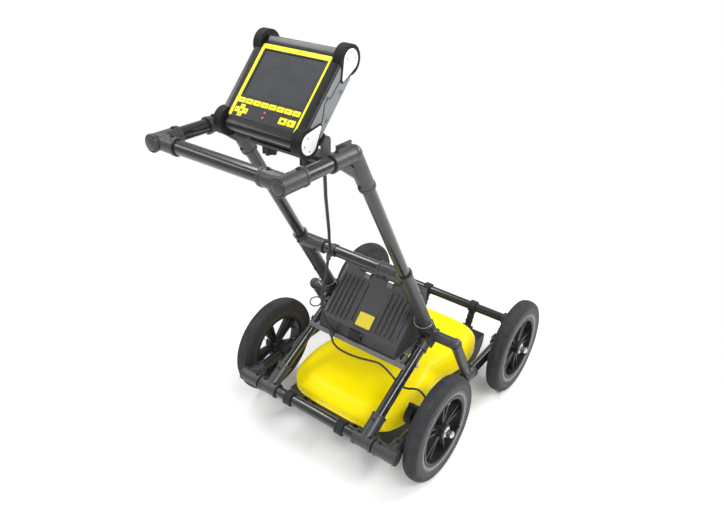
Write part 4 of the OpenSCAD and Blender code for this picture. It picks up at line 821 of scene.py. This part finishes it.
def strap(name, tube, hook):
    """A loop round the tube, a loop round the hook bar, and the band between them with its two keepers."""
    along = (hook - tube).normalized()
    flat = along.cross(Vector((1, 0, 0))).normalized()
    half, soft = 0.012, 0.0012
    tube_grip, hook_grip = 0.0195, 0.0062
    bm = BuildMesh()
    for point, inner, outer in ((tube, 0.0153, 0.0213), (hook, 0.0043, 0.0078)):
        profile = mirrored([(inner, half), (outer - soft, half), (outer, half - soft)])
        bm.lathe(profile, across(point, (1, 0, 0)), 48)
    basis = Matrix((Vector((1, 0, 0)), flat, along)).transposed().to_4x4()
    start = tube + along * tube_grip
    run = (hook - along * hook_grip - start).length
    bm.prism(rounded_outline(0.0236, 0.0036, 0.0014, 4), run, Matrix.Translation(start) @ basis)
    for k in (0.3, 0.62):
        spot = Matrix.Translation(start + along * run * k) @ basis
        bm.prism(rounded_outline(0.0262, 0.0066, 0.002, 4), 0.0055, spot, 0.0006)
    piece = bm.piece("hanger_strap_" + name, "strap", "strap")
    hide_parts("hanger_straps")
    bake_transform(piece)


class CART_OT_straps(bpy.types.Operator):
    """Straps from the cross tubes to the sled's hook bars"""
    bl_idname = "radar_cart.straps"
    bl_label = "Straps"

    def execute(self, context):
        for end, tube_y, hook_y in (("rear", REAR_Y, -326), ("front", FRONT_Y, 318)):
            for side, x in (("left", -92), ("right", 92)):
                strap(end + "_" + side, at(x, tube_y, AXLE_Z * 1000), at(x, hook_y, 84))
        return {"FINISHED"}


def gland(name, points, wide, thin, body):
    """A tapered boot with four ribs and a collar at its root."""
    bm = BuildMesh()
    bm.tube(points, wide, 16, thin)
    for k in range(1, 5):
        r = wide + (thin - wide) * (k / (len(points) - 1))
        rib = mirrored([(r - 0.0006, 0.0008), (r + 0.0005, 0.0005)])
        bm.lathe(rib, across(points[k], points[k + 1] - points[k - 1]), 20)
    collar = [(0.0009, -0.0004), (0.0012, 0.0012), (0.0009, 0.003), (-0.001, 0.003), (-0.001, -0.0004)]
    bm.lathe([(wide + r, z) for r, z in collar], across(points[0], (points[1] - points[0]).normalized()), 24)
    bm.piece(name, "lead", "lead", body)


def lead_clip(point, ahead):
    """A sleeve on the lead, a band on the cross tube and the web between them."""
    bm = BuildMesh()
    sleeve = mirrored([(0.0042, 0.009), (0.0062, 0.0086), (0.0067, 0.007)])
    bm.lathe(sleeve, across(point, ahead), 28)
    tube = at(point.x * 1000, CROSS_Y, CROSS_Z)
    band = mirrored([(0.0151, 0.007), (0.0166, 0.007), (0.0174, 0.0062)])
    bm.lathe(band, across(tube, (1, 0, 0)), 40)
    towards = (tube - point).normalized()
    in_sleeve, in_band = 0.0056, 0.0158
    run = (tube - point).length - in_sleeve - in_band
    bm.prism(rounded_outline(0.011, 0.009, 0.0015, 4), run, across(point + towards * in_sleeve, towards))
    bm.piece("lead_clip", "moulding", "fitting", "handle")


class CART_OT_leads(bpy.types.Operator):
    """The display's and the odometer's leads, with the glands that they run into and the clip on the tee"""
    bl_idname = "radar_cart.leads"
    bl_label = "Leads"

    def execute(self, context):
        display, odometer = (spline([at(*p) for p in route], ROUTE_STEPS)
                             for route in (DISPLAY_ROUTE, ODOMETER_ROUTE))
        wide, thin, sides = sizes().lead_radius, 0.003, 14
        bm = BuildMesh()
        bm.tube(display, wide, sides)
        lead = bm.piece("display_lead", "lead", "lead")
        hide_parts("display_cable")
        clip = CLIP_POINT * ROUTE_STEPS
        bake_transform(lead)
        bm = BuildMesh()
        bm.tube(odometer, thin, sides)
        lead = bm.piece("odometer_lead", "lead", "lead", "chassis", 38, ["odometer_cable"])
        for name, points, root, tip, body in (
                ("display_lead_gland", display[:13], 0.0062, 0.0046, "handle"),
                ("case_lead_gland", display[:-14:-1], 0.0062, 0.0046, "chassis"),
                ("odometer_lead_gland", odometer[:-11:-1], 0.0052, 0.0036, "chassis"),
                ("case_odometer_gland", odometer[:10], 0.0052, 0.0036, "chassis")):
            gland(name, points, root, tip, body)
        lead_clip(display[clip], (display[clip + 1] - display[clip - 1]).normalized())
        return {"FINISHED"}


def display_piece(bm, name, finish, sharp=38, replaces=()):
    bm.piece(name, finish, "display", "display", sharp, replaces)


def front():
    """The front half's rounded frame, sunk in the middle for the panel."""
    bm = BuildMesh()
    place = display_matrix(0, 0, 0)

    def drawn(radius, w):
        return radius - sqrt(radius ** 2 - max(0.0, w + radius) ** 2)

    levels = []
    for w in (-19.9, -16.5, -13, -10.5, -8.5, -6.7, -5.2, -3.9, -2.8, -1.9, -1.1, -0.5, -0.1):
        side, top, foot = 113 - drawn(3.5, w), 105.5 - drawn(6, w), drawn(13, w) - 109
        if w < -13:
            foot += 0.06 * (w + 13) ** 2
        levels.append((2 * side, top - foot, 12 - drawn(3.5, w), (top + foot) / 2, w))
    levels += [(186, 171, 7, 0, 0.35), (183, 168, 6.4, 0, 0.2), (182.6, 167.6, 6.2, 0, -9)]
    bm.bridge([[place @ Vector((x / 1000, (y + v) / 1000, w / 1000))
                for x, y in rounded_outline(wide, tall, r, 8)] for wide, tall, r, v, w in levels])
    display_piece(bm, "display_frame", "display", 40, ["display_front_case"])


def flank(side, s):
    """Grey side plate with the dark gasket that waves along it between the two halves."""
    outline = [(-72, -43), (-60, -46), (66, -46), (76, -43), (76, -7), (70, -5), (14, -5), (-8, -4.5),
               (-30, -5), (-66, -5), (-72, -7)]
    bm = BuildMesh()
    bm.bridge([[on_display(s * u, v * tall, w * deep - sunk) for v, w in outline]
               for u, tall, deep, sunk in ((110.6, 1, 1, 0), (113.4, 1, 1, 0), (113.9, 0.992, 0.97, 0.8))])
    display_piece(bm, "display_flank_" + side, "flank", 30)
    seam = [(52, -22), (40, -20.5), (28, -20), (15, -20), (8, -18.5), (2, -14), (-5.6, -11), (-13, -13),
            (-22, -19), (-32, -24.5), (-40, -26.5), (-50, -27.5)]
    bm = BuildMesh()
    bm.tube(spline([on_display(s * 113.7, v, w) for v, w in seam], 5), 0.0013, 8)
    display_piece(bm, "case_seam_" + side, "mark", 60)


def inserts(side, s):
    """White teardrops let into the bumpers' outer faces, with the dark heads of their pins."""
    wide, thin, pin = 21.5, 3.4, [(0.0016, 0.0), (0.0016, 0.0004), (0.0012, 0.0006)]
    bm, pins = BuildMesh(), BuildMesh()
    for big, tip in (((94, -20), (54, -26.6)), ((-90, -20), (-50, -26.6))):
        bm.bridge([[on_display(s * u, v, w) for v, w in teardrop(big, wide - draw, tip, thin - draw)]
                   for u, draw in ((115.4, 0.0), (116.7, 0.0), (117.3, 0.9))])
        for dv, dw in ((11, -9), (11, 9), (-6, 12)):
            spot = on_display(s * 117.2, big[0] + copysign(1, big[0]) * dv, big[1] + dw)
            pins.lathe(pin, across(spot, (s, 0, 0)), 14, False)
    display_piece(bm, "bumper_inserts_" + side, "insert", 40)
    display_piece(pins, "insert_pins_" + side, "mark", 40)


def teardrop(big, wide, tip, thin):
    """Outline of two circles and the straight sides that touch both."""
    dx, dy = tip[0] - big[0], tip[1] - big[1]
    ahead = atan2(dy, dx)
    lean = acos((wide - thin) / hypot(dx, dy))
    made = []
    for (x, y), r, start, sweep, steps in ((big, wide, ahead + lean, 2 * pi - 2 * lean, 32),
                                           (tip, thin, ahead - lean, 2 * lean, 8)):
        for k in range(steps + 1):
            a = start + sweep * k / steps
            made.append((x + r * cos(a), y + r * sin(a)))
    return made


def bezel():
    """Soft black frame round the screen window."""
    outer = rounded_outline(0.1612, 0.1052, 0.003, 5)
    inner = rounded_outline(0.1582, 0.1022, 0.0025, 5)
    place = display_matrix(0, 18.5, -1.9)
    bm = BuildMesh()
    bm.bridge([[place @ Vector((x, y, z)) for x, y in outline] for outline, z in (
        (outer, 0.0), (outer, 0.0021), (inner, 0.0009), (inner, 0.0))], False, True)
    display_piece(bm, "screen_bezel", "mark", 30)


def sockets(back):
    """Capped round sockets on the display's back."""
    profile = [(0.0105, 0.0), (0.0105, 0.003), (0.0095, 0.0042), (0.008, 0.0042), (0.0075, 0.0095),
               (0.0066, 0.0105)]
    bm = BuildMesh()
    for u in (-34, 0, 34):
        bm.lathe(profile, across(on_display(u, -66, -45.6), back), 28, False)
    display_piece(bm, "display_sockets", "display")


class CART_OT_display(bpy.types.Operator):
    """The display's rounded frame, grey flanks, white corner inserts, back sockets and screws"""
    bl_idname = "radar_cart.display"
    bl_label = "Display"

    def execute(self, context):
        back = (on_display(0, 0, 0) - on_display(0, 0, 1)).normalized()
        front()
        for side, s in (("left", -1), ("right", 1)):
            flank(side, s)
            inserts(side, s)
        bezel()
        sockets(back)
        spots = [(on_display(s * 114.5, v, w), (s, 0, 0))
                 for s in (1, -1) for v, w in ((3.5, -11), (-30, -38), (34, -38))]
        spots += [(on_display(u, v, -46.4), tuple(back)) for u in (-70, 70) for v in (-74, 78)]
        screws("display_screws", spots, 0.0034, 0.0022, "wire", "display")
        return {"FINISHED"}


def marks(name):
    """A key's outlines, each with its offset: a dot among arrows, a triangle, a box or a bar."""
    if name == "nav_pad":
        made = []
        for c, s in circle(4):
            arrow = [(x * c - y * s, x * s + y * c) for x, y in ((-1.7, -1.2), (1.7, -1.2), (0, 1.7))]
            made.append((arrow, -12.6 * s, 8.9 * c))
        return made + [(circle(20, 2.6), 0, 0)]
    if name == "action_key_right":
        return [([(-2.4, -2.6), (2.8, 0), (-2.4, 2.6)], 0, 0)]
    x, y = (3.2, 2.2) if name == "action_key_left" else (4.2, 0.55)
    return [([(-x, -y), (x, -y), (x, y), (-x, y)], 0, 0)]


class CART_OT_keys(bpy.types.Operator):
    """Plain marks on the keys, each moving with its key"""
    bl_idname = "radar_cart.keys"
    bl_label = "Keys"

    def execute(self, context):
        for name in KEYS:
            low, high = corners(name)
            local = Matrix.Rotation(-TILT, 3, "X") @ ((low + high) / 2 - PIVOT)
            u, v = local.x * 1000, (local.y - FACE_UP) * 1000
            bm = BuildMesh()
            for outline, du, dv in marks(name):
                bm.prism(in_metres(outline), 0.0004, display_matrix(u + du, v + dv, 1.15))
            bm.piece(name + "_mark", "mark", "key", "press_" + name)
        return {"FINISHED"}


def hasps():
    """Folded bright clips on the lid's top edge."""
    strip = [(146, -0.4), (146, 1.0), (150, 2.0), (156, 4.6), (162, 4.8), (166.4, 2.4), (167.4, -1.0),
             (166, -1.2), (165, 1.2), (161.4, 3.2), (156.6, 3.0), (150.6, 0.6), (149.6, -0.4)]
    turn = Matrix(((0, 0, 1, 0), (1, 0, 0, 0), (0, 1, 0, 0), (0, 0, 0, 1)))
    bm = BuildMesh()
    for x in (-43, 36):
        place = lid_matrix(x, 0, 0) @ turn @ Matrix.Translation((0, 0, -0.009))
        bm.prism(in_metres(strip), 0.018, place)
    bm.piece("hinge_hasps", "wire", "steel", "lid")


def lid_pads():
    """Raised moulded frame round the plate's recess and a bar up each side of the lid."""
    bm = BuildMesh()
    for x, p, w, h in ((12, 11.5, 56, 3), (12, 56.5, 56, 3), (-15.5, 34, 3, 48), (39.5, 34, 3, 48)):
        bm.prism(rounded_outline(w / 1000, h / 1000, 0.0012, 4), 0.0022, lid_matrix(x, p, -0.2), 0.0006)
    for x in (-31, 52):
        bm.prism(rounded_outline(0.006, 0.118, 0.0022, 4), 0.0042, lid_matrix(x, 78, -0.2), 0.001)
    bm.piece("lid_pads", "case", "case", "lid")


class CART_OT_case(bpy.types.Operator):
    """The battery case's bare plate, hasps, lid pads, tray bolts and knob lobes"""
    bl_idname = "radar_cart.case"
    bl_label = "Battery case"

    def execute(self, context):
        bm = BuildMesh()
        bm.prism(rounded_outline(0.05, 0.041, 0.003), 0.0012, lid_matrix(12, 34, 0.0), 0.0004)
        bm.piece("lid_plate", "plate", "keypad", "lid")
        hasps()
        low, high = corners("tray_knobs")
        y, z = (low.y + high.y) / 2, (low.z + high.z) / 2
        spots = [(Vector((s * (high.x + 0.0006), y, z)), (s, 0, 0)) for s in (1, -1)]
        screws("tray_bolt_ends", spots, 0.0058, 0.0026, "steel", "chassis")
        lobe = mirrored([(0.0024, 0.0042), (0.003, 0.0034)])
        bm = BuildMesh()
        for s in (1, -1):
            for dy, dz in circle(12, 0.0148):
                bm.lathe(lobe, across(Vector((s * 0.1413, y + dy, z + dz)), (1, 0, 0)), 12, False)
        bm.piece("tray_knob_lobes", "block", "fitting", "chassis")
        lid_pads()
        return {"FINISHED"}


def leaning(angle):
    """Upwards and backwards, both leaning to the rear by the angle."""
    return Vector((0, -sin(angle), cos(angle))), Vector((0, -cos(angle), -sin(angle)))


def pull_ring():
    """Wire ring in a staple on the left knuckle's brace socket, in the black block finish as painted shade for
    a steel ring in shade.
    """
    bm = BuildMesh()
    for centre, facing, wide, wire in (((-207, -139, 302), (0.12, -0.28, 0.95), 0.018, 0.0019),
                                       ((-188.2, -139, 300.5), (0.1, 1, 0.2), 0.0034, 0.0011)):
        bm.lathe([(wide + x, y) for x, y in circle(12, wire)], across(at(*centre), facing), 48)
    # Painted shade: the black finish stands for the shade on this steel ring.
    bm.piece("pull_ring", "block", "fitting", "chassis", 60)


def bar_caps():
    """Grooved, slightly domed caps that close the elbows towards the user."""
    profile = [(18.2, -5.4), (19.2, -4.8), (19.2, 0.6), (18.4, 1.6), (16.4, 1.6), (15.8, 0.5), (15.2, 0.5),
               (14.6, 2.0), (12.5, 3.4), (9, 4.6), (4, 5.3)]
    bm = BuildMesh()
    for s in (1, -1):
        place = across(at(s * LEG_X, BAR_Y - 20, BAR_Z), (0, -1, 0))
        bm.lathe(in_metres(profile), place, 40, False)
    bm.piece("bar_end_caps", "moulding", "fitting", "handle", 32)


class CART_OT_fasteners(bpy.types.Operator):
    """Screws through the moulded fittings into the tubes, the pull ring and the bar's end caps"""
    bl_idname = "radar_cart.fasteners"
    bl_label = "Fasteners"

    def execute(self, context):
        z, radius, height = AXLE_Z * 1000, sizes().screw_radius, 0.0034
        corner, block, sleeve, elbow = 20.4, 21.4, 19.4, 18.4
        out, down = leaning(BRACE_SLOPE)
        up, back = leaning(LEG_LEAN)
        chassis, handle = [], []
        for s in (1, -1):
            tops = []
            for y, d in ((REAR_Y, 33), (FRONT_Y, -33)):
                tops += [(RAIL_X - 33, y, corner), (RAIL_X, y + d, corner)]
            tops += [(RAIL_X, y + d, block) for y in (-AXLE_BLOCK_Y, AXLE_BLOCK_Y) for d in (-22, 22)]
            for d in (-18, 18):
                tops += [(RAIL_X, BRACE_FOOT_Y + d, corner), (LEG_X + s * d, REAR_Y, corner)]
            chassis += [(at(s * x, y, z + rise), UP) for x, y, rise in tops]
            fold = at(s * LEG_X, FOLD_Y, FOLD_Z)
            for t, reach in ((44, elbow), (292, corner)):
                chassis.append((fold + down * (t / 1000) + out * (reach / 1000), tuple(out)))
            for t, reach in ((160, sleeve), (296, sleeve), (660, elbow), (704, elbow)):
                handle.append((fold + up * (t / 1000) + back * (reach / 1000), tuple(back)))
            tops = [(LEG_X, CORNER_Y - 50), (LEG_X, BAR_Y + 34), (LEG_X - 40, BAR_Y)]
            handle += [(at(s * x, y, BAR_Z + elbow), UP) for x, y in tops]
            handle.append((at(s * (LEG_X - 55), CROSS_Y, CROSS_Z) + back * (sleeve / 1000), tuple(back)))
        screws("chassis_screws", chassis, radius, height, "block", "chassis")
        screws("handle_screws", handle, radius, height, "block", "handle")
        spots = [(at(202.7, dy - AXLE_BLOCK_Y, z + dz), (-1, 0, 0)) for dy, dz in circle(4, 22, pi / 4)]
        screws("odometer_screws", spots, 0.0026, 0.0018, "steel", "chassis")
        pull_ring()
        bar_caps()
        return {"FINISHED"}


def camera(scene):
    azimuth, elevation, roll = radians(36.12), radians(29.64), radians(1.46)
    focal_pixels, photo_width = 656.45, 724
    data = bpy.data.cameras.new("photo_camera")
    data.sensor_width = 36
    data.lens = data.sensor_width * focal_pixels / photo_width
    data.clip_end = 100
    place = Matrix.Translation(at(893.43, -1413.37, 1424.44))
    for turn, axis in ((azimuth, "Z"), (pi / 2 - elevation, "X"), (roll, "Z")):
        place = place @ Matrix.Rotation(turn, 4, axis)
    scene.camera = placed("photo_camera", data)
    scene.camera.matrix_world = place


def floor():
    """A pale disc that takes the shadows near the cart and fades to white further out."""
    bm = bmesh.new()
    bmesh.ops.create_circle(bm, cap_ends=True, segments=96, radius=30)
    mesh = bpy.data.meshes.new("floor")
    bm.to_mesh(mesh)
    bm.free()
    n = Nodes("floor_white")
    n.shade(Base_Color=n.mix(n.noise(3.0), (0.93, 0.93, 0.93), (0.95, 0.95, 0.95)), Roughness=0.9,
            Specular_IOR_Level=0.1)
    x, y, _ = n.split(n.place)
    seen = n.add("ShaderNodeLightPath")["Is Camera Ray"]
    far = n.times(n.ranged(n.reach(x, y), 0.55, 1.3, smooth=True), seen)
    glow = n.add("ShaderNodeEmission")[0]
    surface = n.add("ShaderNodeMixShader", {0: far, 1: n.shader.outputs[0], 2: glow})[0]
    n.feed(n.tree.nodes["Material Output"], {"Surface": surface})
    mesh.materials.append(n.material)
    placed("floor", mesh)


def world(scene):
    """White where the camera sees it, softer as light."""
    scene.world = bpy.data.worlds.new("studio")
    scene.world.use_nodes = True
    t = Tree(scene.world.node_tree)
    rays = t.add("ShaderNodeLightPath")
    seen = t.math("MAXIMUM", rays["Is Camera Ray"], rays["Is Transmission Ray"])
    strength = t.add("ShaderNodeMapRange", {"Value": seen, "To Min": 0.6, "To Max": 1.0})["Result"]
    t.feed(t.tree.nodes["Background"], {"Color": (1, 1, 1, 1), "Strength": strength})


def lamp(name, place, size, power):
    data = bpy.data.lights.new(name, "AREA")
    data.shape = "RECTANGLE"
    data.size, data.size_y = size
    data.energy = power
    lamp = placed(name, data)
    lamp.location = place
    lamp.rotation_euler = (Vector((0, 0, 0.4)) - Vector(place)).to_track_quat("-Z", "Y").to_euler()


class CART_OT_stage(bpy.types.Operator):
    """Pale floor, soft light and the photograph's camera"""
    bl_idname = "radar_cart.stage"
    bl_label = "Stage"

    def execute(self, context):
        context.scene.view_settings.view_transform = "Standard"
        camera(context.scene)
        floor()
        world(context.scene)
        lamp("key_light", (2.6, -1.0, 3.2), (2.6, 0.5), 82)
        lamp("fill_light", (-2.8, -1.6, 2.6), (2.4, 0.6), 22)
        lamp("back_light", (1.4, 2.7, 2.4), (2.8, 1.3), 75)
        lamp("bar_light", (0.7, -2.7, 2.9), (2.8, 0.24), 24)
        lamp("top_light", (-1.6, 0.1, 3.1), (1.8, 0.5), 28)
        return {"FINISHED"}


class CART_PT_panel(bpy.types.Panel):
    """Lists the cart's sizes, colours and operators"""
    bl_idname = "CART_PT_panel"
    bl_label = "Radar Cart"
    bl_space_type = "VIEW_3D"
    bl_region_type = "UI"
    bl_category = "Radar Cart"

    def draw(self, context):
        layout = self.layout
        for group in (context.scene.radar_cart_sizes, context.scene.radar_cart_colours):
            for name in group.__annotations__:
                layout.prop(group, name)
        for operator in OPERATORS:
            layout.operator(operator.bl_idname)


OPERATORS = (CART_OT_stage, CART_OT_finishes, CART_OT_leads, CART_OT_wheels, CART_OT_sensor, CART_OT_straps,
             CART_OT_display, CART_OT_keys, CART_OT_case, CART_OT_fasteners)
CLASSES = (CartSizes, CartColours, *OPERATORS, CART_PT_panel)


def register():
    for cls in CLASSES:
        bpy.utils.register_class(cls)
    bpy.types.Scene.radar_cart_sizes = PointerProperty(type=CartSizes)
    bpy.types.Scene.radar_cart_colours = PointerProperty(type=CartColours)


def unregister():
    del bpy.types.Scene.radar_cart_colours
    del bpy.types.Scene.radar_cart_sizes
    for cls in reversed(CLASSES):
        bpy.utils.unregister_class(cls)


def main():
    register()
    bpy.ops.radar_cart.stage()
    bpy.ops.radar_cart.finishes()
    bpy.ops.radar_cart.leads()
    bpy.ops.radar_cart.wheels()
    bpy.ops.radar_cart.sensor()
    bpy.ops.radar_cart.straps()
    bpy.ops.radar_cart.display()
    bpy.ops.radar_cart.keys()
    bpy.ops.radar_cart.case()
    bpy.ops.radar_cart.fasteners()


if __name__ == "__main__":
    main()
